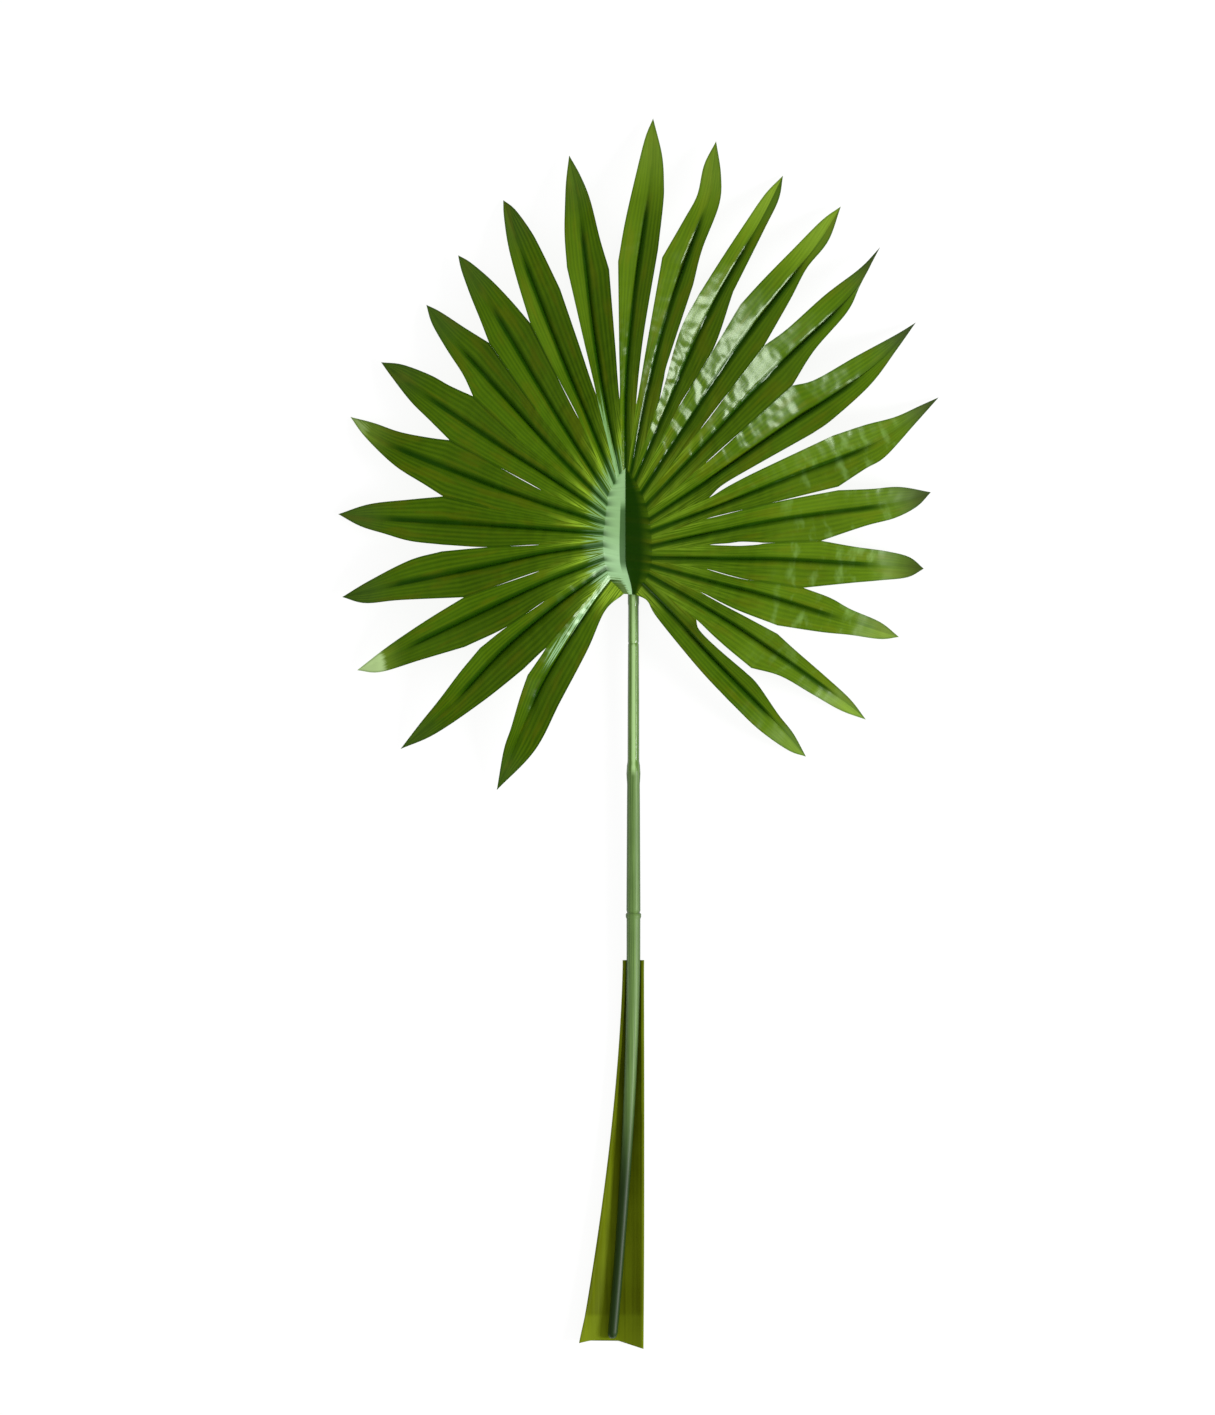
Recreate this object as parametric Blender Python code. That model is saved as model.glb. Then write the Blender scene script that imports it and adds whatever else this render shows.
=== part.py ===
"""A cut fan palm leaf that lies on a surface, top side up.

Three pieces: the pleated blade with its 23 segments, the ringed stalk, which runs on under
the blade as a rib, and the flared sheath that the foot of the stalk lies in.

Places in the tables are in millimetres from a point in the hub, where the folds meet:
X to the right, Y towards the longest segment, Z up from the surface. MIDDLE_X and MIDDLE_Y
move them to the part's own origin, on the surface under the middle of its box.
"""

import math
from collections import namedtuple

import bmesh
import bpy

MM = 0.001

# Overall sizes, read off the leaf
LEFT_REACH = -108.8
RIGHT_REACH = 113.6
TOP_REACH = 158.0
FOOT_REACH = -297.6
MIDDLE_X = (LEFT_REACH + RIGHT_REACH) / 2
MIDDLE_Y = (TOP_REACH + FOOT_REACH) / 2

# Blade
BLADE_THICKNESS = 0.8
SLIT_WIDTH = 0.36
PIECE_GAP = 0.3
STATIONS = 14
STEPS_ACROSS_HALF = 2
HUB_ROWS = 3
FOLD_SAMPLES = 60
PLEAT_SLOPE = 0.46
PLEAT_AT_HUB = 0.35
PLEAT_FULL_FROM = 0.16
PLEAT_FADES_FROM = 0.5
PLEAT_GONE_AT = 0.94
RISE_AFTER_HUB = 8.5
ARCH_BEFORE_TIP = 17.5

# Hub valley, along the line where its two walls meet
VALLEY_FOOT = (0.0, -18.4)
VALLEY_HEAD = (-2.5, 28.5)
VALLEY_STRAIGHT_FROM_Y = -5.0
VALLEY_FOOT_HEIGHT = 9.0
VALLEY_RISE = 5.0
VALLEY_RISE_POWER = 1.5
LEFT_WALL_SLOPE = 0.52
RIGHT_WALL_SLOPE = 0.62

# Stalk
RIB_END_Y = 24.0
STALK_TOP_Y = -22.0
STALK_TOP_RADIUS = 2.1
RIB_END_RADIUS = 0.95
BEND_START_Y = -150.0
BEND_LENGTH = 146.5
BEND_AWAY = 8.1
BEND_POWER = 1.7
UPPER_STALK_X = 0.5
STALK_SIDES_RESOLUTION = 4
FOOT_EVEN_BELOW_Y = -280.0

# Sheath
SHEATH_TOP_Y = -153.6
SHEATH_THICKNESS = 1.2
SHEATH_HALF_WIDTH = 12.15
SHEATH_TOP_HALF_WIDTH = 4.05
SHEATH_FACETS = 9
SHEATH_STATIONS = 16
SHEATH_TOP_ANGLE = math.radians(90)
SHEATH_FOOT_ANGLE = math.radians(46)
SHEATH_FLARE_POWER = 1.5
SHEATH_OPENING_POWER = 0.6
SHEATH_CUT_DEPTH = 2.2
SHEATH_CUT_SLANT = 2.2
FLAT_KEEL_TO_Y = -235.0
KEEL_RISE = 0.8

SHARP_FROM = math.radians(35)

# One line a segment, clockwise from the lower left: where its fold leaves the hub, its fold a
# quarter and half of the way along, where the fold fades, its tip, and how far the tip stands
# clear of the surface.
Segment = namedtuple("Segment", "root near mid fade tip clear")
SEGMENTS = [
    Segment((-8.1, -13.0), (-19.7, -29.2), (-31.4, -48.1), (-38.5, -63.1), (-50.1, -90.7), 2.0),
    Segment((-9.6, -9.2), (-28.2, -22.4), (-47.5, -38.8), (-66.7, -58.9), (-85.8, -75.5), 0.0),
    Segment((-10.4, -5.5), (-31.4, -13.6), (-54.1, -24.2), (-85.7, -39.3), (-101.8, -46.3), 1.5),
    Segment((-10.9, -0.2), (-32.8, -3.3), (-56.9, -8.6), (-94.1, -16.2), (-107.3, -19.2), 3.0),
    Segment((-10.8, 4.0), (-32.8, 5.7), (-57.4, 7.4), (-95.4, 9.8), (LEFT_REACH, 11.5), 0.8),
    Segment((-10.3, 7.8), (-32.3, 14.9), (-56.6, 23.5), (-92.3, 38.1), (-104.3, 47.5), 0.0),
    Segment((-10.0, 11.0), (-28.8, 23.7), (-50.0, 37.2), (-79.1, 56.9), (-92.9, 67.7), 2.2),
    Segment((-9.3, 14.9), (-25.4, 30.6), (-42.3, 49.1), (-65.8, 75.0), (-76.2, 89.0), 1.0),
    Segment((-9.1, 18.4), (-22.1, 38.0), (-35.8, 60.3), (-53.9, 90.7), (-64.4, 107.3), 3.0),
    Segment((-6.6, 22.7), (-16.5, 46.1), (-27.5, 72.1), (-42.2, 110.3), (-47.7, 127.8), 0.0),
    Segment((-4.8, 26.0), (-10.3, 52.3), (-15.0, 81.9), (-19.6, 122.1), (-23.3, 144.3), 2.0),
    Segment(VALLEY_HEAD, (-2.5, 57.8), (0.3, 90.2), (6.1, 132.1), (7.8, TOP_REACH), 1.2),
    Segment((-0.6, 26.6), (5.1, 55.6), (13.1, 86.1), (27.1, 126.2), (31.1, 149.5), 3.2),
    Segment((1.0, 24.2), (13.0, 51.5), (25.1, 79.9), (46.1, 117.6), (55.9, 136.9), 0.0),
    Segment((3.4, 19.4), (20.9, 46.0), (38.3, 72.3), (65.4, 107.0), (77.3, 125.4), 1.8),
    Segment((5.2, 14.9), (27.2, 38.2), (48.7, 61.1), (80.4, 91.6), (91.8, 110.3), 3.0),
    Segment((6.4, 9.6), (31.6, 26.4), (56.2, 43.5), (87.2, 64.5), (105.1, 82.5), 0.6),
    Segment((7.0, 5.2), (33.4, 15.1), (60.3, 26.2), (91.3, 38.6), (RIGHT_REACH, 54.8), 0.0),
    Segment((7.3, -0.2), (31.4, 5.0), (56.9, 10.0), (96.9, 15.5), (110.6, 19.6), 2.4),
    Segment((7.4, -4.6), (30.4, -4.9), (55.5, -5.1), (93.1, -7.4), (108.0, -8.7), 1.0),
    Segment((7.2, -7.5), (28.0, -13.1), (51.1, -18.9), (78.4, -27.5), (98.8, -34.0), 3.0),
    Segment((6.1, -11.0), (25.1, -21.8), (45.8, -34.6), (77.5, -57.1), (86.6, -64.6), 0.0),
    Segment((4.1, -14.3), (17.9, -28.6), (32.9, -44.7), (53.6, -65.8), (64.4, -78.3), 2.2),
]

# The cuts between the segments, in the same order, first and last being the blade's outer edges.
# slit is where two segments part. Each side then runs straight to its shoulder, the last point of
# its first list, and in a curve through its second list to its segment's tip.
Cut = namedtuple("Cut", "slit before after")
Side = namedtuple("Side", "to_shoulder to_tip")
CUTS = [
    Cut(
        (-3.0, -18.1),
        None,
        Side([(-10.0, -24.4), (-16.5, -38.9), (-26.6, -58.1)], [(-35.9, -75.9)]),
    ),
    Cut(
        (-31.8, -38.1),
        Side([(-38.7, -48.1)], [(-41.8, -57.4), (-44.8, -67.7), (-47.5, -75.9)]),
        Side([(-40.0, -45.9)], [(-55.5, -58.1), (-72.9, -69.9)]),
    ),
    Cut(
        (-32.2, -20.7),
        Side([(-46.3, -30.3), (-56.2, -38.1)], [(-63.6, -47.0), (-71.5, -57.4), (-78.4, -65.9)]),
        Side([(-46.3, -30.3), (-61.8, -37.7)], [(-78.4, -42.6), (-93.2, -47.0)]),
    ),
    Cut(
        (-34.0, -9.6),
        Side([(-62.2, -19.4)], [(-74.7, -27.0), (-85.8, -34.3), (-93.2, -39.6)]),
        Side([(-62.2, -19.4)], [(-85.8, -20.4), (-98.8, -21.5)]),
    ),
    Cut(
        (-34.0, 0.0),
        Side([(-53.3, -0.9), (-70.3, -2.4)], [(-82.1, -5.6), (-96.9, -13.0)]),
        Side([(-53.3, -0.9), (-69.9, 0.0)], [(-82.0, 1.4), (-91.4, 4.1), (-100.6, 7.0)]),
    ),
    Cut(
        (-52.0, 13.4),
        Side([(-69.9, 17.9)], [(-82.1, 16.8), (-97.0, 15.2)]),
        Side([(-69.9, 17.9)], [(-76.6, 22.2), (-88.0, 29.5), (-98.8, 40.0)]),
    ),
    Cut(
        (-33.3, 20.0),
        Side([(-67.5, 38.7)], [(-74.7, 39.6), (-85.8, 41.8), (-95.5, 45.2)]),
        Side([(-67.5, 38.7)], [(-74.7, 45.9), (-82.1, 53.3), (-89.5, 62.9)]),
    ),
    Cut(
        (-42.0, 38.8),
        Side([(-58.8, 54.9)], [(-67.3, 58.8), (-74.7, 62.9), (-85.0, 66.8)]),
        Side([(-58.8, 54.9)], [(-62.5, 62.9), (-68.5, 72.2), (-74.0, 81.8)]),
    ),
    Cut(
        (-35.0, 49.0),
        Side([(-52.9, 74.7)], [(-61.8, 80.3), (-71.0, 86.4)]),
        Side([(-52.9, 74.7)], [(-56.2, 83.3), (-59.9, 92.5), (-63.2, 101.8)]),
    ),
    Cut(
        (-19.6, 46.3),
        Side([(-28.9, 64.4), (-37.7, 82.0)], [(-45.1, 90.7), (-52.5, 98.4), (-59.9, 104.7)]),
        Side([(-28.9, 64.4), (-37.7, 82.0)], [(-42.6, 98.1), (-45.9, 111.0), (-47.5, 122.1)]),
    ),
    Cut(
        (-13.3, 55.5),
        Side([(-26.6, 94.5)], [(-34.0, 109.9), (-37.7, 116.6), (-43.3, 124.3)]),
        Side([(-24.1, 102.5)], [(-25.0, 115.0), (-24.8, 127.0), (-24.4, 135.1)]),
    ),
    Cut(
        (-4.6, 53.7),
        Side([(-8.5, 101.8)], [(-11.8, 112.9), (-15.5, 127.7), (-19.2, 136.9)]),
        Side([(-5.2, 104.7)], [(-2.6, 119.5), (1.1, 135.8), (4.8, 150.6)]),
    ),
    Cut(
        (1.5, 51.8),
        Side([(4.0, 75.9), (9.6, 109.2)], [(11.5, 125.8), (11.8, 133.2), (11.1, 144.3)]),
        Side([(11.1, 106.2)], [(19.6, 121.0), (24.1, 129.5), (26.6, 140.6)]),
    ),
    Cut(
        (10.2, 53.5),
        Side(
            [(11.8, 61.1), (13.5, 68.5), (22.6, 96.2)],
            [(25.9, 109.2), (32.2, 125.8), (32.9, 137.0)],
        ),
        Side(
            [(12.4, 61.1), (17.9, 79.6), (24.4, 92.1)],
            [(33.3, 106.2), (41.8, 119.1), (49.2, 129.9)],
        ),
    ),
    Cut(
        (17.0, 50.7),
        Side([(29.6, 71.4), (37.4, 93.6)], [(42.2, 103.2), (49.2, 117.3), (54.3, 128.0)]),
        Side([(29.6, 71.4), (40.0, 88.8)], [(48.1, 97.7), (59.6, 109.5), (70.3, 120.3)]),
    ),
    Cut(
        (25.2, 42.6),
        Side([(48.8, 73.6)], [(58.5, 90.7), (64.6, 102.3), (72.6, 112.5)]),
        Side([(48.8, 73.6)], [(57.4, 79.9), (71.4, 92.5), (84.4, 102.5)]),
    ),
    Cut(
        (27.0, 30.0),
        Side([(59.2, 58.8)], [(67.3, 71.8), (79.6, 86.2), (84.5, 96.3)]),
        Side([(59.2, 58.8)], [(67.7, 61.1), (82.5, 69.6), (97.3, 77.7)]),
    ),
    Cut(
        (28.5, 17.4),
        Side([(36.3, 23.8), (66.6, 41.1)], [(74.0, 46.3), (88.1, 59.2), (98.0, 72.4)]),
        Side([(40.0, 24.1), (74.0, 40.3)], [(86.2, 44.4), (97.3, 47.4), (106.5, 51.6)]),
    ),
    Cut(
        (27.4, 9.6),
        Side([(51.8, 15.5), (76.2, 21.5)], [(86.2, 28.1), (93.6, 32.6), (104.5, 44.6)]),
        Side([(51.8, 15.5), (76.2, 20.2)], [(88.0, 20.7), (99.0, 21.5)]),
    ),
    Cut(
        (28.5, 0.0),
        Side(
            [(35.5, 0.4), (40.0, 1.3), (50.0, 1.6), (69.9, 1.5)],
            [(86.2, 7.0), (97.3, 10.0), (105.5, 14.3)],
        ),
        Side(
            [(35.5, -0.2), (40.0, -0.4), (50.0, -0.1), (69.9, 1.5)],
            [(82.5, -0.7), (93.6, -2.2), (102.6, -4.4)],
        ),
    ),
    Cut(
        (27.4, -8.9),
        Side(
            [(36.3, -11.5), (43.7, -13.1), (63.3, -15.9)],
            [(80.7, -14.1), (91.8, -13.1), (102.0, -11.9)],
        ),
        Side(
            [(36.3, -11.5), (43.7, -13.1), (63.3, -15.9)],
            [(73.3, -19.6), (80.7, -23.7), (91.8, -28.5)],
        ),
    ),
    Cut(
        (25.2, -17.4),
        Side([(37.0, -23.4), (53.7, -29.8)], [(69.6, -32.2), (80.7, -33.3), (91.8, -34.8)]),
        Side([(37.0, -23.9), (53.7, -32.9)], [(60.3, -38.9), (71.4, -48.5), (80.7, -57.0)]),
    ),
    Cut(
        (23.7, -27.6),
        Side([(31.6, -35.2), (44.0, -45.5)], [(54.8, -48.5), (65.9, -54.8), (77.0, -61.1)]),
        Side(
            [(25.0, -31.5), (32.4, -38.9), (41.4, -46.6)],
            [(46.3, -51.4), (54.0, -62.5), (59.6, -69.6)],
        ),
    ),
    Cut(
        (1.5, -18.5),
        Side(
            [(5.6, -20.7), (9.3, -27.0), (24.4, -45.5), (35.5, -57.4)],
            [(46.6, -68.1), (57.7, -75.9)],
        ),
        None,
    ),
]

# The stalk from the end of its rib to its foot: place along Y, and radius.
STALK_PROFILE = [
    (RIB_END_Y, 0.35),
    (23.5, 0.7),
    (22.0, RIB_END_RADIUS),
    (10.0, 1.28),
    (-5.0, 1.66),
    (-16.4, 1.92),
    (-17.4, 2.1),
    (-21.6, 2.1),
    (-22.6, 1.95),
    (-35.8, 2.0),
    (-36.3, 1.85),
    (-36.8, 2.02),
    (-57.4, 2.15),
    (-80.0, 2.2),
    (-81.6, 2.45),
    (-84.5, 2.7),
    (-87.2, 2.5),
    (-88.6, 2.35),
    (-94.0, 2.4),
    (-115.0, 2.5),
    (-135.2, 2.6),
    (-136.0, 2.35),
    (-136.5, 2.85),
    (-137.6, 2.85),
    (-138.3, 2.55),
    (-153.6, 2.55),
    (-175.0, 2.45),
    (-200.0, 2.3),
    (-225.0, 2.1),
    (-248.0, 1.95),
    (-265.0, 1.85),
    (-280.0, 1.85),
    (-291.8, 1.85),
    (-292.9, 1.5),
    (-293.6, 0.8),
]

PALETTE = {
    "blade": ((0.095, 0.19, 0.008, 1), 0.34),
    "stalk": ((0.13, 0.25, 0.07, 1), 0.32),
    "sheath": ((0.14, 0.21, 0.012, 1), 0.42),
}


# Small geometry helpers


def mix(a, b, share):
    return a + (b - a) * share


def mix_points(a, b, share):
    return tuple(mix(one, other, share) for one, other in zip(a, b))


def smooth_step(start, end, value):
    share = min(1.0, max(0.0, (value - start) / (end - start)))
    return share * share * (3 - 2 * share)


def length_of(points):
    return sum(math.dist(a, b) for a, b in zip(points, points[1:]))


def share_steps(lengths, steps):
    """How many of the steps each length gets, at least one each, so that they are as even as can be."""
    counts = [1] * len(lengths)
    while sum(counts) < steps:
        longest = max(range(len(lengths)), key=lambda i: lengths[i] / counts[i])
        counts[longest] += 1
    return counts


def spaced(points, steps):
    """steps + 1 points along straight pieces between the given points, each of which is kept."""
    pieces = list(zip(points, points[1:]))
    counts = share_steps([math.dist(a, b) for a, b in pieces], steps)
    out = [points[0]]
    for (a, b), count in zip(pieces, counts):
        out += [mix_points(a, b, i / count) for i in range(1, count + 1)]
    return out


def catmull_rom(before, start, end, after, t):
    """One coordinate of the curve from start to end, led by the points before and after them."""
    bend = (2 * before - 5 * start + 4 * end - after) * t**2
    twist = (3 * start - before - 3 * end + after) * t**3
    return 0.5 * (2 * start + (end - before) * t + bend + twist)


def curve_through(points, steps):
    """steps + 1 points on a Catmull-Rom curve through the given points, evenly spread in its parameter."""
    ends = [mix_points(points[1], points[0], 2)] + points + [mix_points(points[-2], points[-1], 2)]
    out = []
    for i in range(steps + 1):
        place = i * (len(points) - 1) / steps
        k = min(int(place), len(points) - 2)
        out.append(tuple(catmull_rom(*four, place - k) for four in zip(*ends[k : k + 4])))
    return out


def along(points, steps):
    """steps + 1 points at even distances along a fine polyline."""
    reached = [0.0]
    for a, b in zip(points, points[1:]):
        reached.append(reached[-1] + math.dist(a, b))
    out = []
    k = 0
    for i in range(steps + 1):
        wanted = reached[-1] * i / steps
        while k < len(points) - 2 and reached[k + 1] < wanted:
            k += 1
        share = (wanted - reached[k]) / (reached[k + 1] - reached[k])
        out.append(mix_points(points[k], points[k + 1], share))
    return out


# Heights


def valley_share(y):
    return min(1.0, max(0.0, (y - VALLEY_FOOT[1]) / (VALLEY_HEAD[1] - VALLEY_FOOT[1])))


def valley_x(y):
    """The valley runs straight down from its head and then bends to the top of the stalk."""
    return mix(VALLEY_FOOT[0], VALLEY_HEAD[0], smooth_step(VALLEY_FOOT[1], VALLEY_STRAIGHT_FROM_Y, y))


def valley_height(y):
    return VALLEY_FOOT_HEIGHT + VALLEY_RISE * valley_share(y) ** VALLEY_RISE_POWER


def hub_height(x, y):
    """The hub is a valley: its walls rise away from the line where they meet."""
    away = x - valley_x(y)
    return valley_height(y) + (RIGHT_WALL_SLOPE * away if away > 0 else -LEFT_WALL_SLOPE * away)


def arch_height(share, at_hub, at_tip):
    """A segment rises from the hub, arches over and comes down to its tip."""
    rest = 1 - share
    return (
        rest**3 * at_hub
        + 3 * rest**2 * share * (at_hub + RISE_AFTER_HUB)
        + 3 * rest * share**2 * ARCH_BEFORE_TIP
        + share**3 * at_tip
    )


def pleat_depth(share, half_width):
    opening = mix(PLEAT_AT_HUB, 1, smooth_step(0, PLEAT_FULL_FROM, share))
    return PLEAT_SLOPE * half_width * opening * (1 - smooth_step(PLEAT_FADES_FROM, PLEAT_GONE_AT, share))


# Blade

# A place on the blade's outline or on a fold: where it is, its share of the way from the hub
# to the tip, the height that it leaves the hub at and the height of the tip that it leads to.
Place = namedtuple("Place", "x y share at_hub at_tip")


def tip_height(segment):
    return BLADE_THICKNESS + segment.clear


def fold_places(segment):
    line = curve_through([segment.root, segment.near, segment.mid, segment.fade, segment.tip], FOLD_SAMPLES)
    at_hub = hub_height(*segment.root)
    at_tip = tip_height(segment)
    return [Place(x, y, j / STATIONS, at_hub, at_tip) for j, (x, y) in enumerate(along(line, STATIONS))]


def hub_edge(number):
    """Where the ridge between two segments leaves the hub: halfway between their folds."""
    if number in (0, len(SEGMENTS)):
        return CUTS[number].slit
    return mix_points(SEGMENTS[number - 1].root, SEGMENTS[number].root, 0.5)


def spread(side, slit, direction):
    """The side's points up to its shoulder, moved half a slit's width away from the cut."""
    shoulder = side.to_shoulder[-1]
    reach = math.dist(slit, shoulder)
    across = ((slit[1] - shoulder[1]) / reach, (shoulder[0] - slit[0]) / reach)
    shift = direction * SLIT_WIDTH / 2
    return [(x + across[0] * shift, y + across[1] * shift) for x, y in side.to_shoulder]


def cut_places(number):
    """The places on both sides of a cut, and the station at which the two part."""
    cut = CUTS[number]
    start = hub_edge(number)
    joined = math.dist(start, cut.slit)
    outlines = {}
    for side, segment_index, direction in ((cut.before, number - 1, 1), (cut.after, number, -1)):
        if side:
            tip = SEGMENTS[segment_index].tip
            free = [cut.slit] + spread(side, cut.slit, direction) + side.to_tip + [tip]
            outlines[direction] = (segment_index, free)
    whole = joined + sum(length_of(free) for _, free in outlines.values()) / len(outlines)
    parts_at = max(1, round(STATIONS * joined / whole)) if joined else 0
    share_there = joined / whole
    at_hub = hub_height(*start)
    shared_tip = sum(tip_height(SEGMENTS[i]) for i, _ in outlines.values()) / len(outlines)
    places = {}
    for direction, (segment_index, free) in outlines.items():
        own_tip = tip_height(SEGMENTS[segment_index])
        row = []
        for j in range(parts_at):
            x, y = mix_points(start, cut.slit, j / parts_at)
            row.append(Place(x, y, share_there * j / parts_at, at_hub, shared_tip))
        covered = 0.0
        points = spaced(free, STATIONS - parts_at)
        total = length_of(points)
        for i, point in enumerate(points):
            covered += math.dist(points[i - 1], point) if i else 0.0
            freed = covered / total
            row.append(Place(*point, mix(share_there, 1, freed), at_hub, mix(shared_tip, own_tip, freed)))
        places[direction] = row
    return places, parts_at


def height_on(fold, edge, away):
    """The height at a share of the way from the fold to the edge of a segment."""
    share = mix(fold.share, edge.share, away)
    arch = arch_height(share, mix(fold.at_hub, edge.at_hub, away), mix(fold.at_tip, edge.at_tip, away))
    half_width = math.dist((fold.x, fold.y), (edge.x, edge.y))
    return arch - pleat_depth(share, half_width) * (1 - away)


class Sheet:
    """A sheet of triangles whose corners are shared by name."""

    def __init__(self):
        self.bm = bmesh.new()
        self.corners = {}

    def corner(self, name, x, y, z):
        if name not in self.corners:
            self.corners[name] = self.bm.verts.new(((x - MIDDLE_X) * MM, (y - MIDDLE_Y) * MM, z * MM))
        return self.corners[name]

    def fill(self, *corners):
        """A triangle, or a four-sided patch as two, without the corners that coincide."""
        loop = [c for i, c in enumerate(corners) if c is not corners[i - 1]]
        for i in range(1, len(loop) - 1):
            self.bm.faces.new((loop[0], loop[i], loop[i + 1]))


def segment_rows(sheet, number, before, after, before_parts, after_parts):
    """The corners of one segment, a row for each station, from its left edge to its right edge."""
    segment = SEGMENTS[number]
    fold = fold_places(segment)
    tip = sheet.corner(("tip", number), *segment.tip, tip_height(segment))
    rows = []
    for j in range(STATIONS):
        row = []
        for step in range(-STEPS_ACROSS_HALF, STEPS_ACROSS_HALF + 1):
            away = abs(step) / STEPS_ACROSS_HALF
            edge = before[j] if step < 0 else after[j]
            if step == -STEPS_ACROSS_HALF and j <= before_parts:
                name = ("ridge", number, j)
            elif step == STEPS_ACROSS_HALF and j <= after_parts:
                name = ("ridge", number + 1, j)
            else:
                name = ("segment", number, j, step)
            x = mix(fold[j].x, edge.x, away)
            y = mix(fold[j].y, edge.y, away)
            row.append(sheet.corner(name, x, y, height_on(fold[j], edge, away)))
        rows.append(row)
    rows.append([tip] * len(row))
    return rows


def add_hub(sheet, rim):
    """Fills the hub: two walls from the rim down to the valley between them."""
    half = len(rim) // 2
    head = rim[half]

    def flat(corner):
        return corner.co.x / MM + MIDDLE_X, corner.co.y / MM + MIDDLE_Y

    def wall_point(i, row, side):
        start = rim[i] if side == "left" else rim[-1 - i]
        if row == 0 or i == half:
            return start if i < half else head
        rim_x, rim_y = flat(start)
        valley_y = (flat(rim[i])[1] + flat(rim[-1 - i])[1]) / 2
        down = row / HUB_ROWS
        x = mix(rim_x, valley_x(valley_y), down)
        y = mix(rim_y, valley_y, down)
        pleat = start.co.z / MM - hub_height(rim_x, rim_y)
        name = ("valley", i) if row == HUB_ROWS else ("wall", side, i, row)
        return sheet.corner(name, x, y, hub_height(x, y) + pleat * (1 - down) ** 2)

    for side in ("left", "right"):
        for i in range(half):
            for row in range(HUB_ROWS):
                sheet.fill(
                    wall_point(i, row, side),
                    wall_point(i + 1, row, side),
                    wall_point(i + 1, row + 1, side),
                    wall_point(i, row + 1, side),
                )


def make_blade():
    sheet = Sheet()
    cuts = [cut_places(number) for number in range(len(CUTS))]
    rim = []
    for number in range(len(SEGMENTS)):
        (before, before_parts), (after, after_parts) = cuts[number], cuts[number + 1]
        rows = segment_rows(sheet, number, before[-1], after[1], before_parts, after_parts)
        for near, far in zip(rows, rows[1:]):
            for i in range(2 * STEPS_ACROSS_HALF):
                sheet.fill(near[i], far[i], far[i + 1], near[i + 1])
        rim += rows[0] if not rim else rows[0][1:]
    add_hub(sheet, rim)
    bmesh.ops.recalc_face_normals(sheet.bm, faces=sheet.bm.faces)
    lower = bmesh.ops.extrude_face_region(sheet.bm, geom=sheet.bm.faces[:])["geom"]
    moved = [element for element in lower if isinstance(element, bmesh.types.BMVert)]
    bmesh.ops.translate(sheet.bm, verts=moved, vec=(0, 0, -BLADE_THICKNESS * MM))
    return finish_mesh("blade", sheet.bm)


# Stalk and sheath


def axis_x(y):
    """The stalk is straight down to BEND_START_Y, and then leans away to the left."""
    below = max(0.0, (BEND_START_Y - y) / BEND_LENGTH)
    return UPPER_STALK_X - BEND_AWAY * below**BEND_POWER


def keel_height(y):
    above = max(0.0, (y - FLAT_KEEL_TO_Y) / (SHEATH_TOP_Y - FLAT_KEEL_TO_Y))
    return KEEL_RISE * above**2


def axis_height(y, radius):
    """In the sheath the stalk lies just clear of its floor, and under the hub just clear of the valley."""
    seat = SHEATH_THICKNESS + PIECE_GAP
    under_blade = BLADE_THICKNESS + PIECE_GAP
    if y <= SHEATH_TOP_Y:
        return keel_height(y) + seat + radius
    if y >= STALK_TOP_Y:
        rib = mix(STALK_TOP_RADIUS, RIB_END_RADIUS, (y - STALK_TOP_Y) / (RIB_END_Y - STALK_TOP_Y))
        return valley_height(y) - under_blade - rib
    lower = axis_height(SHEATH_TOP_Y, radius_at(SHEATH_TOP_Y))
    upper = axis_height(STALK_TOP_Y, STALK_TOP_RADIUS)
    return mix(lower, upper, (y - SHEATH_TOP_Y) / (STALK_TOP_Y - SHEATH_TOP_Y))


def radius_at(y):
    for (upper_y, upper), (lower_y, lower) in zip(STALK_PROFILE, STALK_PROFILE[1:]):
        if lower_y <= y <= upper_y:
            return mix(upper, lower, (upper_y - y) / (upper_y - lower_y))
    return STALK_PROFILE[-1][1]


def make_stalk():
    curve = bpy.data.curves.new("stalk", "CURVE")
    curve.dimensions = "3D"
    curve.bevel_depth = MM
    curve.bevel_resolution = STALK_SIDES_RESOLUTION
    curve.use_fill_caps = True
    spline = curve.splines.new("POLY")
    spline.points.add(len(STALK_PROFILE) - 1)
    foot_radius = radius_at(FOOT_EVEN_BELOW_Y)
    for point, (y, radius) in zip(spline.points, STALK_PROFILE):
        z = axis_height(y, foot_radius if y < FOOT_EVEN_BELOW_Y else radius)
        point.co = ((axis_x(y) - MIDDLE_X) * MM, (y - MIDDLE_Y) * MM, z * MM, 1)
        point.radius = radius
    stalk = bpy.data.objects.new("stalk", curve)
    bpy.context.scene.collection.objects.link(stalk)
    curve.materials.append(material("stalk"))
    return stalk


def sheath_cut(across):
    """How far the cut at the foot lies above FOOT_REACH, from -1 at its left end to 1 at its right."""
    return SHEATH_CUT_DEPTH * (1 - across**2) + SHEATH_CUT_SLANT * (1 - across) / 2


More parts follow.
